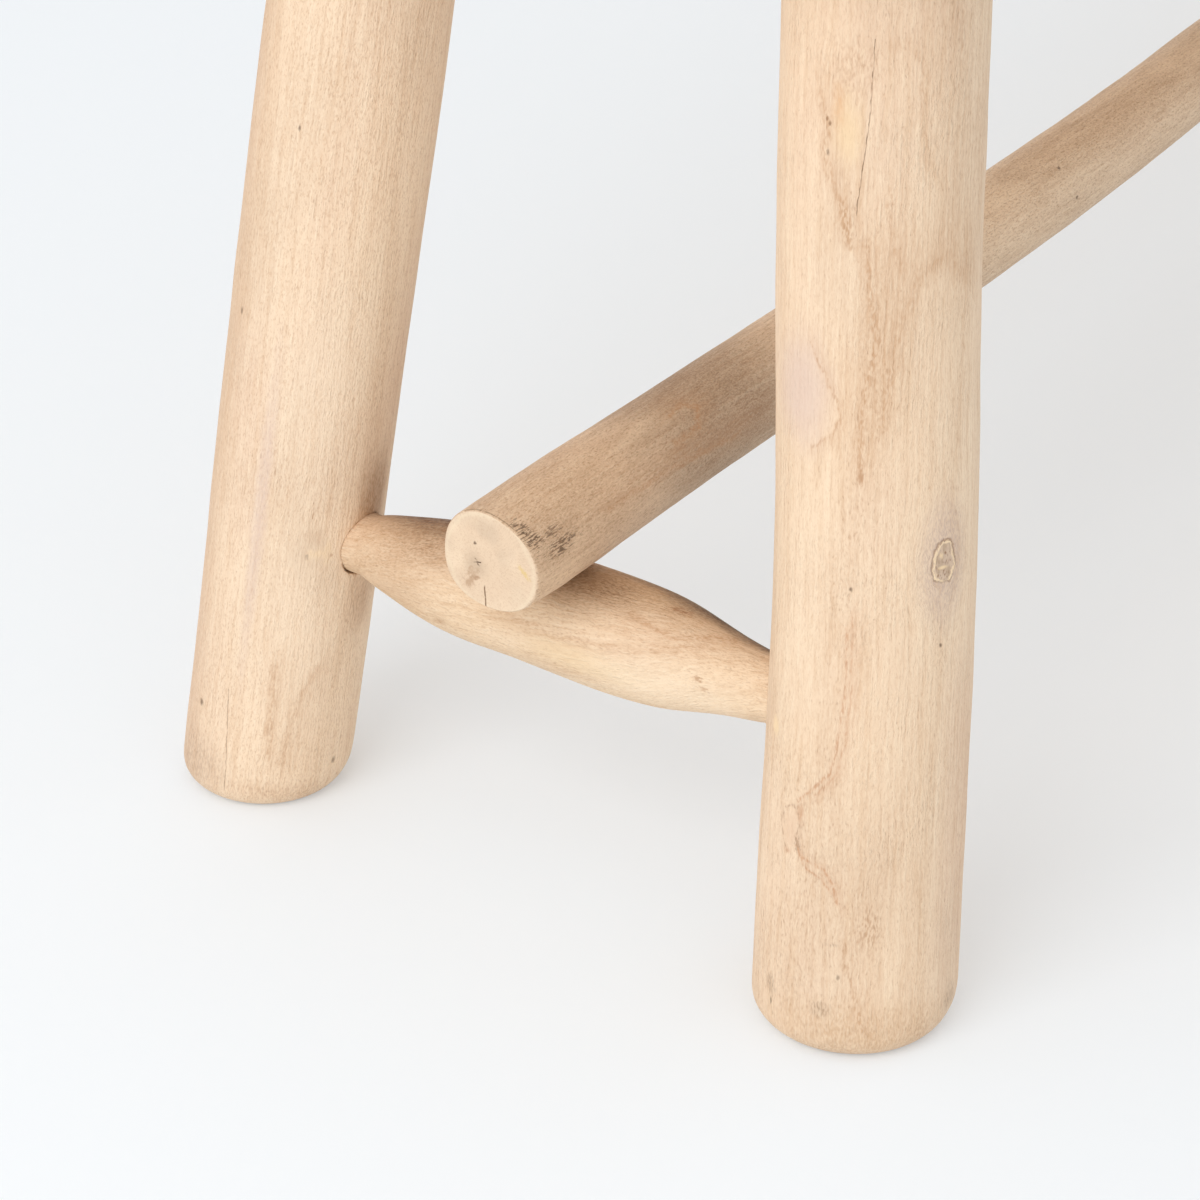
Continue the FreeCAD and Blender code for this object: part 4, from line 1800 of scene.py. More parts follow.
@dataclass
class LongStretcher(Pole):
    """The long pole, a slightly bent branch, sawn square with its edges just broken."""

    columns: int = 152
    row_gap: float = 0.003
    reach: float = 0.06
    edge_rows: tuple[float, ...] = (0.02, 0.08, 0.2, 0.36, 0.56, 0.8, 1.3, 2.2, 3.6)
    edge_rise: float = 0.0009
    edge_start: float = 0.0005
    edge_easing: float = 0.0018
    bare_rows: int = 1
    shrink: Pair = (0.002, 0.026)
    outlines: tuple[int, int] = (0, 130)
    blurs: tuple[int, ...] = (-14, -7, 0, 7, 14)
    facing: Pair = (-0.702, 0.712)
    cap_shares: tuple[float, ...] = (0.05, 0.14, 0.24, 0.34, 0.44, 0.54, 0.64, 0.73, 0.82, 0.9, 0.96, 0.99)

    def frame(self) -> GrainFrame:
        """Finds the pole's axes.

        Returns:
            The axes, facing up and to the front.
        """
        start, stop = self.ends()
        middle = Vector(((start.x + stop.x) / 2, start.y, start.z))
        return GrainFrame(middle, Vector((1, 0, 0)), Vector((0, *self.facing)))

    def ends(self) -> tuple[Vector, Vector]:
        """Gives the middles of the two sawn ends.

        Returns:
            The middle of the left end and of the right end.
        """
        points = node_points(self.node)
        middles = []
        for place in (points[:, 0].min(), points[:, 0].max()):
            kept = points[np.abs(points[:, 0] - place) < 2.5 * MM]
            middles.append(Vector((place, *((kept.min(0) + kept.max(0)) / 2)[1:])))
        return middles[0], middles[1]

    def uneven_end(self, ring: np.ndarray, share: float, turned: int) -> np.ndarray:
        """Draws a ring in to the flattened outline of a hand-worked end.

        Args:
            ring: The ring's points.
            share: How much of the outline it takes.
            turned: How far the outline is turned, in degrees.

        Returns:
            The moved points.
        """
        middle = ring.mean(axis=0)
        arms = ring - middle
        turns = np.degrees(np.arctan2(arms[:, 2], arms[:, 1])) + turned
        places, sizes = np.array(END_OUTLINE).T
        steps = [np.interp(turns + blur, places, sizes, period=360) for blur in self.blurs]
        return middle + arms * (1 + share * (np.mean(steps, axis=0) - 1))[:, None]

    def rings(self) -> tuple[np.ndarray, tuple[int, int]]:
        """Measures the pole from end to end and flattens its ends a little.

        Returns:
            The rings, and how many rows at each end are sawn faces.
        """
        start, stop = self.ends()
        length = stop.x - start.x
        level = (start + stop) / 2
        first, last = Vector((start.x, level.y, level.z)), Vector((stop.x, level.y, level.z))
        survey = Survey(self.node, first, last, self.frame().face, False)
        angles = full_turn(self.columns)
        edge = np.array(self.edge_rows) * MM
        body = np.arange(edge[-1] + self.row_gap, length - edge[-1] - 0.5 * self.row_gap, self.row_gap)
        stations = np.concatenate([edge, body, length - edge[::-1]])
        rows = []
        for station in stations:
            near = min(station, length - station)
            left = station < length / 2
            eased = self.edge_start + near * (self.edge_easing - self.edge_start) / self.edge_rise
            read = eased if near < self.edge_rise else max(near, self.edge_easing)
            at = read if left else length - read
            middle, section = survey.slice(at, self.reach)
            ring = survey.ring(middle + survey.run * (station - at), section, angles)
            share = 1 - float(ease(np.array(near), *self.shrink))
            rows.append(self.uneven_end(ring, share, self.outlines[0 if left else 1]))
        rings = self.roughen(np.array(rows), self.faded(stations, length))
        first = self.capped(rings[0], self.cap_shares)
        last = self.capped(rings[-1], self.cap_shares[::-1])
        for ring in first:
            ring[:, 0] = start.x
        for ring in last:
            ring[:, 0] = stop.x
        bare = len(first) + self.bare_rows
        return np.concatenate([np.array(first), rings, np.array(last)]), (bare, bare)


@dataclass
class Plank:
    """One seat plank, planed flat, with rounded outer edges and corners and a fine bevel at each joint."""

    node: str
    timber: Timber
    cut: Timber
    outer: tuple[float, ...] = ()
    edge_radius: float = 0.006
    corner_radius: float = 0.016
    joint_bevel: float = 0.0012
    end_rows: tuple[float, ...] = (0.0, 0.15, 0.6, 1.4, 2.6, 4.2, 6.0, 8.0, 10.5, 13.0, 16.0)
    row_gap: float = 0.006
    face_points: int = 26
    side_points: int = 9
    round_points: int = 6
    cap_shares: tuple[float, ...] = (0.1, 0.5, 0.9)
    sawn_rows: int = 5
    hollow: float = 0.0003
    hole_play: float = 0.00015
    groove_play: float = 0.0002
    seam: float = 0.004
    seam_length: float = 9.0
    seam_show: float = 0.6
    seam_ragged: float = 0.3
    seed: int = 1
    shift: float = 0.0
    legs: Sequence[Leg] = ()
    splines: Sequence[str] = ()

    def inset(self, depth: np.ndarray, radius: float) -> np.ndarray:
        """Gives how far a rounded end draws in at a depth from it."""
        left = np.clip(radius - depth, 0, radius)
        return radius - np.sqrt(np.maximum(radius * radius - left * left, 0))

    def section(self, low: Pair, high: Pair, radii: Pair) -> np.ndarray:
        """Lays out the points of one cross section.

        Args:
            low: Least Y and Z.
            high: Greatest Y and Z.
            radii: Corner radius on the low Y side and on the high Y side.

        Returns:
            The points, in turn from the low corner.
        """
        corners = (
            (low[0], low[1], radii[0], 180),
            (high[0], low[1], radii[1], 270),
            (high[0], high[1], radii[1], 0),
            (low[0], high[1], radii[0], 90),
        )
        counts = (self.face_points, self.side_points, self.face_points, self.side_points)
        points: list[Pair] = []
        arcs = []
        for across, up, radius, turn in corners:
            inward = (1 if across == low[0] else -1, 1 if up == low[1] else -1)
            middle = (across + inward[0] * radius, up + inward[1] * radius)
            bend = np.radians(turn + np.linspace(0, 90, self.round_points))
            arcs.append([(middle[0] + radius * math.cos(a), middle[1] + radius * math.sin(a)) for a in bend])
        for index, arc in enumerate(arcs):
            points += arc
            start, stop = np.array(arc[-1]), np.array(arcs[(index + 1) % 4][0])
            steps = np.linspace(0, 1, counts[index] + 2)[1:-1]
            points += [tuple(start + (stop - start) * step) for step in steps]
        return np.array(points)

    def build(self) -> Piece:
        """Planes the plank, bores it for its legs and dresses it.

        Returns:
            The plank.
        """
        low, high = node_box(self.node)
        depths = np.array(self.end_rows) * MM
        length = high.x - low.x
        body = np.arange(depths[-1] + self.row_gap, length - depths[-1] - 0.5 * self.row_gap, self.row_gap)
        places = np.concatenate([depths, body, length - depths[::-1]]) + low.x
        near = np.minimum(places - low.x, high.x - places)
        ends = self.inset(near, self.edge_radius)
        corners = self.inset(near, self.corner_radius)
        rows = []
        for place, end, corner in zip(places, ends, corners):
            sides = []
            radii = []
            for sign, edge in ((-1, low.y), (1, high.y)):
                outer = sign in self.outer
                sides.append(edge - sign * (max(corner, end) if outer else 0.0))
                radii.append(max(self.edge_radius - end, 0.0004) if outer else self.joint_bevel)
            flat = self.section((sides[0], low.z + end), (sides[1], high.z - end), (radii[0], radii[1]))
            rows.append(np.column_stack([np.full(len(flat), place), flat]))
        rings = self.wear(np.array(rows), low, high)
        first = Pole.capped(rings[0], self.cap_shares)
        last = Pole.capped(rings[-1], self.cap_shares[::-1])
        whole = np.concatenate([np.array(first), rings, np.array(last)])
        piece = Shape.loft(self.node + "_wood", whole, (self.sawn_rows, self.sawn_rows))
        place = GrainFrame((low + high) / 2, Vector((1, 0, 0)), Vector((0, 0, 1))).matrix()
        back = place.inverted()
        bounds = [low.copy(), high.copy()]
        seams = []
        for sign, corner in zip((-1, 1), bounds):
            if sign not in self.outer:
                joint = (back @ corner).y
                size = (self.seam, self.seam_length)
                seams.append(StainAndShade(joint, 0.0, *size, BROWN, self.seam_show, self.seam_ragged))
                corner.y += sign * self.corner_radius
        inner = [back @ corner for corner in bounds]
        half = (inner[1] - inner[0]) / 2
        worn = ((inner[0] + inner[1]) / 2, Vector([abs(value) for value in half]))
        top = Skin(self.node + "_side", self.timber, Wrap.FLAT, place, seams, self.shift, worn)
        end_skin = Skin(self.node + "_end", self.cut, Wrap.CUT, place, (), self.shift)
        Shape.carve(piece, self.cutters(low, high), (top.build(), end_skin.build()), PLANK_SHARP)
        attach(piece, BODY)
        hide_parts(self.node)
        LOG.info("%s: %d faces", piece.name, len(piece.data.polygons))
        return piece

    def wear(self, rings: np.ndarray, low: Vector, high: Vector) -> np.ndarray:
        """Hollows the top a little, as hand planing and sitting leave it.

        Args:
            rings: Points by row and column.
            low: The plank's low corner.
            high: Its high corner.

        Returns:
            The moved points.
        """
        random = np.random.default_rng(self.seed)
        along = rings[..., 0]
        across = (rings[..., 1] - low.y) / (high.y - low.y)
        waves = np.zeros_like(along)
        for length, turns, height in ((0.37, 1, 0.4), (0.19, 2, 0.3), (0.09, 3, 0.2)):
            first, second = random.uniform(0, 2 * math.pi, 2)
            lengthwise = np.cos(2 * math.pi * along / length + first)
            waves += height * lengthwise * np.cos(turns * math.pi * across + second)
        top = ease(rings[..., 2], high.z - 0.002, high.z - 0.0005)
        moved = rings.copy()
        moved[..., 2] -= top * self.hollow * (0.9 + waves) * np.sin(math.pi * np.clip(across, 0, 1)) ** 0.5
        return moved

    def cutters(self, low: Vector, high: Vector) -> list[Piece]:
        """Bores the leg mortises and cuts the grooves for the splines.

        Args:
            low: The plank's low corner.
            high: Its high corner.

        Returns:
            The cutters.
        """
        made = []
        for leg in self.legs:
            foot, top = leg.axis()
            run = (top - foot) / (top.z - foot.z)
            tenon = Survey(leg.node, foot, top, Vector((1, 0, 0)), True)
            section = tenon.slice(low.z + 0.02, leg.reach)[1]
            start = foot + run * (low.z - 0.01)
            stop = foot + run * (high.z + 0.01)
            made.append(Shape.drum("cut_" + leg.node, start, stop, float(section[0]) + self.hole_play, 128))
        for spline in self.splines:
            made.append(Shape.swollen(spline, Vector((self.groove_play,) * 3)))
        return made


@dataclass(frozen=True)
class Steel:
    """Plain zinc-bright screw steel with fine turning marks."""

    colour: Colour = tone(176, 178, 182)
    dull: Colour = tone(132, 133, 136)
    roughness: float = 0.34

    def build(self) -> bpy.types.Material:
        """Builds the metal.

        Returns:
            The material.
        """
        material = bpy.data.materials.new("screw_steel_bright")
        graph = Graph.of(material)
        position = graph.add("ShaderNodeTexCoord").outputs["Object"]
        fibres = graph.place(FibreStreaks, Position=position, Width=0.004, Length=0.0002)
        shader = graph.add("ShaderNodeBsdfPrincipled")
        colour = graph.mix(graph.rise(fibres["Streak"], 0.35, 0.6), self.dull, self.colour)
        rough = graph.rise(fibres["Streak"], 0.3, 0.7, self.roughness + 0.1, self.roughness)
        graph.fill(shader, Base_Color=colour, Metallic=1.0, Roughness=rough)
        output = graph.add("ShaderNodeOutputMaterial")
        graph.feed(output.inputs["Surface"], shader.outputs["BSDF"])
        return material


LEG_TEAK = Timber()
COARSE_TEAK = Timber(
    pale=tone(246, 219, 189), deep=tone(230, 198, 165), cream=tone(250, 227, 198), grit_show=0.32,
    grit_rise=0.17, chatter=0.5,
)
CROSS_TEAK = Timber(
    pale=tone(240, 211, 176), deep=tone(217, 183, 147), wave=0.011, wave_length=0.05, curl=0.0018,
    spiral=0.16, grit_show=0.3, grit_rise=0.15, fibre_width=0.0006, fibre_length=0.0034, fibre_show=0.5,
    fibre_rise=0.6, girth=0.018, ring_gap=0.009, ring_wander=0.005, ring_show=0.3, line_show=0.12,
)
LONG_TEAK = Timber(
    pale=tone(231, 203, 173), deep=tone(208, 177, 145), line=tone(160, 119, 84), grey=tone(188, 163, 139),
    blush=tone(212, 180, 150), fibre_width=0.0006, fibre_length=0.002, fibre_rise=0.5, grit_show=0.45,
    grit_rise=0.2, girth=0.02, ring_gap=0.008, line_show=0.2, drift_size=0.035, chatter=0.4,
)
SEAT_TEAK = Timber(
    ring_gap=0.0052, ring_wander=0.006, ring_show=0.7, line_show=0.45, drift_size=0.07, fibre_length=0.012,
    fibre_rise=0.2, wave=0.003, wave_length=0.2, chatter=0.05,
)
CUT_TEAK = Timber(
    pale=tone(230, 203, 174), deep=tone(206, 176, 145), grey=tone(202, 178, 153),
    heart=(-0.0041, -0.0025, 0.0), ring_gap=0.0034, ring_show=0.06,
)
SEAT_CUT = replace(CUT_TEAK, deep=tone(196, 162, 128), ring_gap=0.0052, ring_show=0.55, drift_show=0.15)
END_OUTLINE = (
    (0, 0.955), (30, 1.0), (60, 1.0), (85, 0.94), (112, 0.9), (138, 0.94), (157, 1.0), (176, 0.98),
    (205, 1.0), (228, 0.945), (250, 0.895), (277, 0.87), (302, 0.945), (322, 1.0), (340, 1.0),
)
SWELLS = ((2, 0.19, 0.13), (3, 0.11, 0.1), (4, 0.07, 0.07), (6, 0.045, 0.05), (9, 0.03, 0.03))
SEAT_HEARTS = ((-0.075, 0.012, 0.0), (0.05, -0.05, 0.0), (-0.06, -0.02, 0.0))
WEDGE_TEAK = Timber(
    pale=tone(206, 166, 124), deep=tone(180, 138, 98), line=tone(128, 88, 58), pore=tone(104, 70, 46),
    blush=tone(190, 146, 108), grey=tone(178, 146, 114), cream=tone(216, 180, 140), fibre_width=0.0006,
    ring_gap=0.0018,
)

WHITE = tone(255, 255, 255)
BROWN = tone(176, 129, 90)
DARK = tone(88, 63, 44)
UMBER = tone(108, 75, 50)
ROSE = tone(202, 154, 118)
SMOKE = tone(170, 134, 106)
PINK = tone(222, 196, 181)
LILAC = tone(198, 174, 159)
BUTTER = tone(243, 214, 173)


FRONT_LEFT_MARKS: tuple[Mark, ...] = (
    Knot(around=0.0243, along=0.1738, width=0.01, height=0.0142, shade=LILAC, shade_show=0.75),
    StainAndShade.at(23.6, 172.2, 5, 1.6, BUTTER, 0.9, ragged=1.6),
    StainAndShade.at(22.8, 176.4, 2.2, 3, BUTTER, 0.8, ragged=1.6),
    StainAndShade.at(-27.5, 76.5, 10, 19, tone(230, 196, 166), 0.6, ragged=0.8),
    StainAndShade.at(-23.6, 83, 4.5, 8, ROSE, 0.6, ragged=2.4, sunk=0.2),
    StainAndShade.at(-24.6, 73, 2.8, 7, UMBER, 0.45, ragged=2.4, sunk=0.3),
    StainAndShade.at(-28.5, 69, 5, 4, ROSE, 0.6, ragged=2.0),
    GrainLine.through(
        (-27, 86), (-30.5, 84), (-32, 79), (-31.4, 72.5), (-28.8, 68.5), width=0.0006, colour=SMOKE,
        show=0.5, shade=0.0, stray=0.003,
    ),
    GrainLine.through(
        (-27, 86), (-24.2, 83), (-24, 79), (-26, 75), (-24.8, 71.5), width=0.0006, colour=SMOKE, show=0.45,
        shade=0.1, stray=0.003,
    ),
    StainAndShade.at(-13.5, 317, 14, 30, BUTTER, 0.7, ragged=0.9),
    StainAndShade.at(-13, 288, 8, 22, BROWN, 0.4, streaked=0.9),
    StainAndShade.at(-4, 255, 12, 90, BROWN, 0.14, streaked=0.85),
    StainAndShade.at(-13, 337, 24, 26, BROWN, 0.28, streaked=0.8),
    StainAndShade.at(-29, 230, 34, 50, PINK, 0.7, ragged=0.5),
    StainAndShade.at(-6, 205, 3, 7, BROWN, 0.6, ragged=1.2),
    StainAndShade.at(-17.2, 325, 6, 20, tone(228, 182, 136), 0.55, streaked=0.4),
    StainAndShade.at(-20.9, 320.6, 1.3, 2.2, DARK, 0.75, ragged=1.2, sunk=0.2),
    StainAndShade.at(-19.9, 319.2, 1.3, 2, DARK, 0.75, ragged=1.2, sunk=0.2),
    StainAndShade.at(-20.3, 310, 1.4, 3, DARK, 0.6, ragged=1.2),
    StainAndShade.at(-8, 166, 1.6, 2.2, DARK, 0.7, sunk=0.2),
    StainAndShade.at(24, 145, 1.6, 2.2, DARK, 0.75, sunk=0.2),
    StainAndShade.at(1.4, 45, 12, 22, BROWN, 0.4, streaked=0.9),
    StainAndShade.at(0, 6, 100, 32, tone(204, 164, 124), 0.5, streaked=0.6),
    StainAndShade.at(-14.2, 14.5, 9, 8, UMBER, 0.42, ragged=1.4, streaked=0.7),
    StainAndShade.at(-35.3, 18, 7, 10, UMBER, 0.36, ragged=1.4, streaked=0.6),
    StainAndShade.at(38, 12, 14, 14, UMBER, 0.4, ragged=1.2, streaked=0.7),
    StainAndShade.at(-35.1, 11.2, 1.2, 4, DARK, 0.7, ragged=0.8),
    StainAndShade.at(-8.3, 27.3, 1.6, 3, DARK, 0.5, ragged=0.8),
    StainAndShade.at(-11.4, 39, 9, 2, DARK, 0.25, ragged=1.2, streaked=0.8),
    StainAndShade.at(-38, 110, 6, 9, BUTTER, 0.8, sunk=0.4),
    GrainLine.through(
        (-24, 328), (-20, 318), (-22, 310), (-18.6, 302), (-15, 293), (-11.5, 281), width=0.0022
    ),
    GrainLine.through((-6, 283), (-5.4, 268), (-2, 249), (-6, 229), (-6.7, 210), (-5.9, 203), shade=0.08),
    GrainLine.through(
        (0, 222), (2.7, 243), (6.3, 259), (8.6, 268), (12.4, 273.5), (18, 276.4), (23, 275), (27, 270),
        width=0.0034, show=0.26, shade=0.28,
    ),
    GrainLine.through((0, 300), (0.4, 291), (2, 281), (5.8, 274), show=0.25, shade=0.12),
    GrainLine.through(
        (0, 344), (4.4, 346), (9.8, 339), (9.8, 323), (12, 308), (17, 299), show=0.2, shade=0.1
    ),
    GrainLine.through(
        (-25, 247), (-20, 239), (-14, 228), (-13, 224), (-16.6, 217), (-23, 212), width=0.0008
    ),
    GrainLine.through(
        (-8.7, 152), (-9, 127), (-11, 112), (-13, 101), (-20, 93), (-25, 88), width=0.0008, colour=ROSE,
        stray=0.0014, show=0.65,
    ),
    GrainLine.through(
        (-7, 158), (-7, 127), (-8.6, 112), (-10.8, 101), (-18, 92), width=0.0006, colour=ROSE, stray=0.0014
    ),
    GrainLine.through(
        (-25, 72), (-23, 68.6), (-18.6, 67.4), (-14, 65.8), (-10.8, 60.5), (-9.2, 54), width=0.0008,
        colour=ROSE, stray=0.0014, show=0.75,
    ),
    GrainLine.through(
        (-23, 68), (-21, 65), (-15, 62.5), (-11.6, 58), width=0.0006, colour=ROSE, stray=0.0014, show=0.6
    ),
    GrainLine.through((-6.3, 40), (-5, 29), (-2.3, 19.6), (0.3, 8.5), show=0.3, shade=0.12),
    Check.through(
        (-5.9, 347), (-6.4, 336), (-6.8, 323), (-8, 311), (-9, 302), (-10.1, 291), width=0.00022,
        stray=0.0016,
    ),
)

BACK_LEFT_MARKS: tuple[Mark, ...] = (
    StainAndShade.at(7, 108, 20, 28, tone(214, 188, 160), 0.5, ragged=1.2),
    StainAndShade.at(7.2, 114.5, 8, 10, BROWN, 0.35, ragged=1.2, streaked=0.6),
    StainAndShade.at(8.5, 107, 8, 6, BUTTER, 0.7, ragged=1.6),
    StainAndShade.at(12.5, 108, 5, 12, BUTTER, 0.6, ragged=1.6),
    StainAndShade.at(5, 106.2, 1.8, 2.6, DARK, 0.6, ragged=1.4, sunk=0.3),
    StainAndShade.at(13.9, 106.8, 1.6, 2, BROWN, 0.8, ragged=1.4, sunk=0.3),
    StainAndShade.at(12, 98, 20, 30, tone(220, 194, 166), 0.5),
    StainAndShade.at(-14, 120, 8, 160, PINK, 0.6, streaked=0.3),
    StainAndShade.at(6, 75, 36, 130, tone(253, 230, 203), 0.5, streaked=0.4),
    StainAndShade.at(5, 170, 36, 100, tone(253, 230, 203), 0.55, streaked=0.4),
    StainAndShade.at(20, 350, 34, 100, tone(253, 230, 203), 0.5, streaked=0.4),
    # Painted shade: the left edge darker for the leg's whole height, and the right edge darker above and
    # below the mortise.
    StainAndShade.at(-46, 220, 50, 700, tone(204, 164, 128), 0.5, streaked=0.25),
    StainAndShade.at(31, 128, 22, 50, tone(158, 114, 76), 0.7, streaked=0.3),
    StainAndShade.at(31, 84, 22, 40, tone(168, 124, 86), 0.5, streaked=0.3),
    StainAndShade.at(-16, 267, 1.4, 3, DARK, 0.7),
    StainAndShade.at(-34, 192, 2, 4, DARK, 0.6),
    StainAndShade.at(-32, 34, 3, 4, DARK, 0.7, sunk=0.3),
    StainAndShade.at(27, 18, 2.6, 3.6, DARK, 0.6, sunk=0.2),
    StainAndShade.at(4, 7, 50, 12, BROWN, 0.35, streaked=0.7),
    StainAndShade.at(-30, 10, 44, 34, tone(180, 150, 126), 0.5, streaked=0.5),
    GrainLine.through((-2, 60), (-1, 40), (0, 22), show=0.4),
    GrainLine.through((14, 60), (8, 45), (5, 20), show=0.3),
    Check.through(
        (-18.5, 46), (-17.7, 37), (-16.1, 17), (-15.5, 4), width=0.00025, stray=0.0015, show=0.55
    ),
    Check.through((5, 128), (5.5, 121.6), width=0.0003, stray=0.0015, colour=BROWN, show=0.8),
)

FAR_LEG_MARKS: tuple[Mark, ...] = (
    Knot(around=0.02, along=0.255, width=0.009, height=0.014, shade_show=0.5),
    StainAndShade.at(-20, 300, 14, 50, PINK, 0.55),
    StainAndShade.at(5, 60, 20, 50, BROWN, 0.25, streaked=0.8),
    StainAndShade.at(-12, 8, 30, 12, BROWN, 0.35, streaked=0.6),
    GrainLine.through((-12, 240), (-8, 200), (-15, 160), show=0.4),
    Check.through((12, 330), (11, 300), (13, 268), width=0.0005, show=0.8),
)

CROSS_MARKS: tuple[Mark, ...] = (
    StainAndShade.at(-21, 43, 5, 8, BROWN, 0.5, sunk=0.4, streaked=0.4),
    # Painted shade: a darker upper side along most of the length, and a darker end towards one leg, darkest
    # at its upper edge.
    StainAndShade.at(19, -30, 32, 200, tone(178, 138, 100), 0.6, streaked=0.3),
    StainAndShade.at(0, 70, 90, 70, tone(190, 150, 112), 0.4, streaked=0.3),
    StainAndShade.at(24, 66, 34, 100, tone(104, 70, 44), 0.9, streaked=0.2),
    StainAndShade.at(9, 50, 26, 60, tone(150, 112, 78), 0.5, streaked=0.4),
    StainAndShade.at(-14, -20, 16, 70, BUTTER, 0.6),
    StainAndShade.at(-14, -55, 34, 90, tone(252, 230, 202), 0.65, streaked=0.3),
    GrainLine.through((6, -62), (-4, -40), (-8, -10), (-6, 20), show=0.3, shade=0.15),
    GrainLine.through((14, -70), (5, -52), (8, -34), show=0.4),
    # Painted shade: a dark band along the upper edge, darkest towards the leg at that end.
    StainAndShade.at(31, -36, 16, 60, UMBER, 0.75, streaked=0.3),
    StainAndShade.at(25.5, -62, 20, 60, tone(84, 57, 37), 0.95, streaked=0.2),
    StainAndShade.at(20.5, -81, 17, 40, tone(84, 57, 37), 0.95, streaked=0.2),
    StainAndShade.at(17, -48, 6, 12, tone(150, 98, 56), 0.6, streaked=0.6),
    StainAndShade.at(-5.2, -64.5, 3, 4.5, BROWN, 0.6, ragged=2.0, sunk=0.3),
    StainAndShade.at(-8, -67, 2.5, 5, BROWN, 0.45, ragged=2.0, sunk=0.2),
    # Painted shade: the contact shadow next to where the long pole rests.
    StainAndShade.at(14, -14, 32, 50, tone(132, 96, 66), 0.6, streaked=0.3),
)

LONG_MARKS: tuple[Mark, ...] = (
    Mildew(around=0.001, along=-0.7295, width=0.028, height=0.014),
    Mildew(around=0.0095, along=-0.7165, width=0.011, height=0.036),
    Mildew(around=0.0035, along=-0.7215, width=0.008, height=0.026, show=0.7),
    StainAndShade.at(6, -722, 26, 34, tone(140, 110, 84), 0.3, streaked=0.5),
    Check.through(
        (-27, -732.6), (-20, -732.4), (-12, -732.4), (-4, -732.3), width=0.0004, stray=0.002,
        colour=tone(104, 80, 58), show=0.6,
    ),
    StainAndShade.at(0, -705, 70, 110, tone(172, 136, 100), 0.32, streaked=0.5),
    # Painted shade: a dark band all round the pole where the front left leg shades it.
    StainAndShade.at(0, -612, 200, 130, tone(110, 80, 55), 0.6, streaked=0.25),
    GrainLine.through((-7, -638), (-8, -630), (-4, -624), (2, -630), (3, -645), show=0.55),
    GrainLine.through((8, -690), (9, -655), (13, -610), show=0.35),
    StainAndShade.at(12, -600, 20, 80, BROWN, 0.25, streaked=0.6),
    StainAndShade.at(-2, -367, 2.2, 3, DARK, 0.7),
    StainAndShade.at(12.5, -363, 2.2, 3, DARK, 0.7),
    Knot(around=-0.01, along=0.12, width=0.012, height=0.018, shade_show=0.5),
    Mildew(around=0.004, along=0.72, width=0.03, height=0.04),
    Check.through((4, 300), (5, 340), (3, 392), width=0.0005, show=0.8),
)

LONG_END_MARKS: tuple[Mark, ...] = (
    Rim(radius=0.0182, width=0.0014, colour=tone(240, 220, 190), show=0.4),
    StainAndShade.at(-6, -3, 13, 14, tone(186, 160, 134), 0.5, ragged=1.2),
    StainAndShade.at(-12.7, 0.4, 7.5, 5, tone(160, 116, 80), 0.5, ragged=3.0),
    StainAndShade.at(-9.5, -0.6, 6, 5, tone(172, 134, 102), 0.5, ragged=3.0),
    StainAndShade.at(10.8, 9.5, 2.6, 8, tone(224, 192, 112), 0.6, ragged=1.6),
    Check.through(
        (-6.2, -3.6), (-4.7, -3.1), (-3.2, -2.2), width=0.0004, stray=0.002, colour=DARK, show=0.95
    ),
    Check.through(
        (-5.2, -1.6), (-4.7, -3.1), (-4.4, -4.4), width=0.0004, stray=0.002, colour=DARK, show=0.95
    ),
    StainAndShade.at(-0.1, -8.6, 1.7, 1.7, DARK, 0.85, ragged=0.8, sunk=0.4),
    Check.through((-8.6, 5), (-10.5, 7.2), (-13.6, 10.6), width=0.0004, stray=0.0008, show=1.0),
)


@dataclass
class Undercarriage:
    """Four splayed legs, two whittled cross stretchers and the long pole between the ends."""

    legs: list[Leg] = field(default_factory=list)

    def build_legs(self) -> None:
        """Builds the four legs with their own marks."""
        plans = (
            ("leg_front_left", LEG_TEAK, FRONT_LEFT_MARKS),
            ("leg_back_left", COARSE_TEAK, BACK_LEFT_MARKS),
            ("leg_front_right", LEG_TEAK, FAR_LEG_MARKS),
            ("leg_back_right", COARSE_TEAK, tuple(reversed(FAR_LEG_MARKS))),
        )
        for index, (node, timber, marks) in enumerate(plans):
            side = Side.FRONT if "front" in node else Side.BACK
            end = End.LEFT if "left" in node else End.RIGHT
            leg = Leg(
                node, "leg_teak", timber, CUT_TEAK, marks=marks, side=side, end=end, seed=11 + index,
                shift=0.7 * index,
            )
            leg.build()
            self.legs.append(leg)

    def build_stretchers(self) -> None:
        """Builds the cross stretchers and the long pole."""
        for index, end in enumerate(End):
            node = "cross_stretcher_" + end.value
            marks = CROSS_MARKS if end is End.LEFT else tuple(reversed(CROSS_MARKS))
            CrossStretcher(
                node, "cross_teak", CROSS_TEAK, CUT_TEAK, marks=marks, end=end, seed=31 + index,
                shift=3.1 + index,
            ).build()
        LongStretcher(
            "long_stretcher", "long_teak", LONG_TEAK, CUT_TEAK, marks=LONG_MARKS, end_marks=LONG_END_MARKS,
            seed=41, shift=5.3,
        ).build()


def dress(word: str, skin: bpy.types.Material) -> None:
    """Gives a finish to the CAD nodes that are named so, which keep their own shape.

    Args:
        word: What their names hold.
        skin: The finish.
    """
    for name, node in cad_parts.items():
        if word in name:
            for slot in node.material_slots:
                slot.material = skin
            LOG.info("%s: %s", name, skin.name)


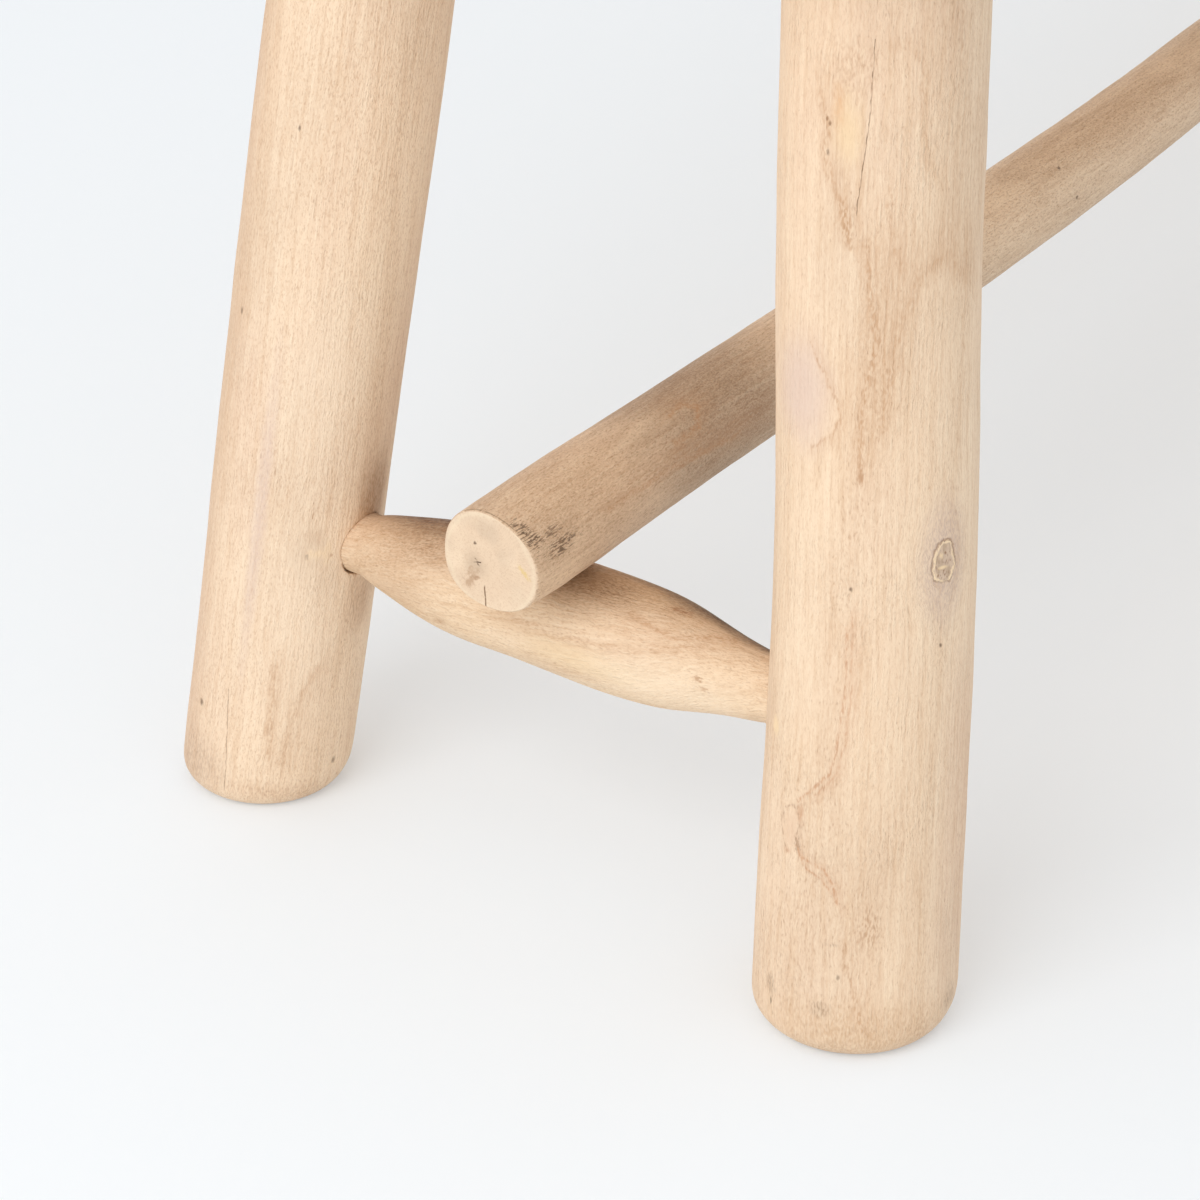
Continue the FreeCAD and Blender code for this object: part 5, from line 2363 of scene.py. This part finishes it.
@dataclass
class Seat:
    """Three planks, splined together, on wedged leg tenons."""

    legs: Sequence[Leg]

    def build(self) -> None:
        """Builds the planks."""
        by_side = {side: [leg for leg in self.legs if leg.side is side] for side in Side}
        plans = (
            ("seat_plank_front", (-1,), by_side[Side.FRONT], ("seat_spline_front",)),
            ("seat_plank_middle", (), [], ("seat_spline_front", "seat_spline_back")),
            ("seat_plank_back", (1,), by_side[Side.BACK], ("seat_spline_back",)),
        )
        for index, (node, outer, legs, splines) in enumerate(plans):
            heart = SEAT_HEARTS[index]
            Plank(
                node, replace(SEAT_TEAK, heart=heart), replace(SEAT_CUT, heart=heart), outer=outer,
                legs=legs, splines=splines, seed=51 + index, shift=7.7 + 2.3 * index,
            ).build()

    def dress(self) -> None:
        """Gives the wedges and splines their timber."""
        lengthwise = GrainFrame(Vector((0, 0, 0)), Vector((1, 0, 0)), Vector((0, 0, 1))).matrix()
        dress("wedge", Skin("wedge_dark_teak", WEDGE_TEAK, Wrap.FLAT, Matrix()).build())
        dress("spline", Skin("spline_plain_teak", LEG_TEAK, Wrap.FLAT, lengthwise).build())


@dataclass
class Fastening:
    """The screws that hold the long pole down and the plugs that hide their heads."""

    def dress(self) -> None:
        """Gives the screws their steel and the plugs their timber."""
        dress("stretcher_screw", Steel().build())
        dress("screw_plug", Skin("plug_teak_grain", LEG_TEAK, Wrap.CUT, Matrix()).build())


def in_sight(graph: Graph) -> Socket:
    """Gives 1 to rays from the camera, a gloss or a glass, and 0 to the rest.

    Args:
        graph: The graph of a material or the world.

    Returns:
        The value.
    """
    path = graph.add("ShaderNodeLightPath")
    seen = graph.math("MAXIMUM", path.outputs["Is Camera Ray"], path.outputs["Is Glossy Ray"])
    return graph.math("MAXIMUM", seen, path.outputs["Is Transmission Ray"])


@dataclass
class Studio:
    """A pale floor, soft light from the left of the picture and the camera."""

    camera_place: tuple[float, float, float] = (-1.6717, -0.7059, 0.8181)
    camera_azimuth: float = -54.77
    camera_elevation: float = 30.34
    lens: float = 120.0
    floor_half: float = 30.0
    floor_level: float = -0.0001
    floor_colour: Colour = tone(240, 246, 251)
    floor_lift: float = 0.28
    sky_level: float = 0.84
    key_power: float = 29.5
    key_size: float = 2.0
    key_place: tuple[float, float, float] = (-2.85, 0.05, 1.8)
    key_aim: tuple[float, float, float] = (-0.7, 0.0, 0.15)

    def build_camera(self) -> None:
        """Sets the camera at the photograph's angle."""
        data = bpy.data.cameras.new("camera")
        data.lens = self.lens
        data.sensor_width = 36.0
        data.clip_end = 200.0
        camera = bpy.data.objects.new("camera", data)
        turn, rise = math.radians(self.camera_azimuth), math.radians(self.camera_elevation)
        back = Vector((math.sin(turn) * math.cos(rise), -math.cos(turn) * math.cos(rise), math.sin(rise)))
        camera.rotation_mode = "QUATERNION"
        camera.rotation_quaternion = (-back).to_track_quat("-Z", "Y")
        camera.location = self.camera_place
        bpy.context.scene.collection.objects.link(camera)
        bpy.context.scene.camera = camera

    def build_floor(self) -> None:
        """Lays the floor."""
        signs = ((-1, -1), (1, -1), (1, 1), (-1, 1))
        corners = [(x * self.floor_half, y * self.floor_half, self.floor_level) for x, y in signs]
        mesh = bpy.data.meshes.new("floor")
        mesh.from_pydata(corners, [], [(0, 1, 2, 3)])
        floor = bpy.data.objects.new("floor", mesh)
        material = bpy.data.materials.new("pale_floor")
        graph = Graph.of(material)
        shader = graph.add("ShaderNodeBsdfPrincipled")
        graph.fill(shader, Base_Color=self.floor_colour, Roughness=0.9, Specular_IOR_Level=0.1)
        glow = graph.add("ShaderNodeEmission")
        graph.fill(glow, Color=WHITE)
        blend = graph.add("ShaderNodeMixShader")
        graph.feed(blend.inputs[0], graph.times(in_sight(graph), self.floor_lift))
        graph.feed(blend.inputs[1], shader.outputs[0])
        graph.feed(blend.inputs[2], glow.outputs[0])
        output = graph.add("ShaderNodeOutputMaterial")
        graph.feed(output.inputs["Surface"], blend.outputs[0])
        mesh.materials.append(material)
        bpy.context.scene.collection.objects.link(floor)

    def build_light(self) -> None:
        """Hangs the soft lamp and sets the sky."""
        lamp = bpy.data.lights.new("soft_key", "AREA")
        lamp.shape = "SQUARE"
        lamp.size = self.key_size
        lamp.energy = self.key_power
        key = bpy.data.objects.new("soft_key", lamp)
        key.location = self.key_place
        aim = Vector(self.key_aim) - Vector(self.key_place)
        key.rotation_mode = "QUATERNION"
        key.rotation_quaternion = aim.to_track_quat("-Z", "Y")
        bpy.context.scene.collection.objects.link(key)
        world = bpy.data.worlds.new("studio")
        bpy.context.scene.world = world
        graph = Graph.of(world)
        sky = graph.add("ShaderNodeBackground")
        graph.fill(sky, Color=WHITE, Strength=self.sky_level)
        shown = graph.add("ShaderNodeBackground")
        graph.fill(shown, Color=self.floor_colour, Strength=1.0)
        blend = graph.add("ShaderNodeMixShader")
        graph.feed(blend.inputs[0], in_sight(graph))
        graph.feed(blend.inputs[1], sky.outputs[0])
        graph.feed(blend.inputs[2], shown.outputs[0])
        output = graph.add("ShaderNodeOutputWorld")
        graph.feed(output.inputs["Surface"], blend.outputs[0])

    def build(self) -> None:
        """Builds the studio."""
        bpy.context.scene.view_settings.view_transform = "Standard"
        self.build_camera()
        self.build_floor()
        self.build_light()


def main() -> None:
    """Builds the studio, the undercarriage, the seat and the fastenings."""
    logging.basicConfig(level=logging.INFO, format="%(name)s: %(message)s")
    Studio().build()
    frame_work = Undercarriage()
    frame_work.build_legs()
    frame_work.build_stretchers()
    seat = Seat(frame_work.legs)
    seat.build()
    seat.dress()
    Fastening().dress()


if __name__ == "__main__":
    main()
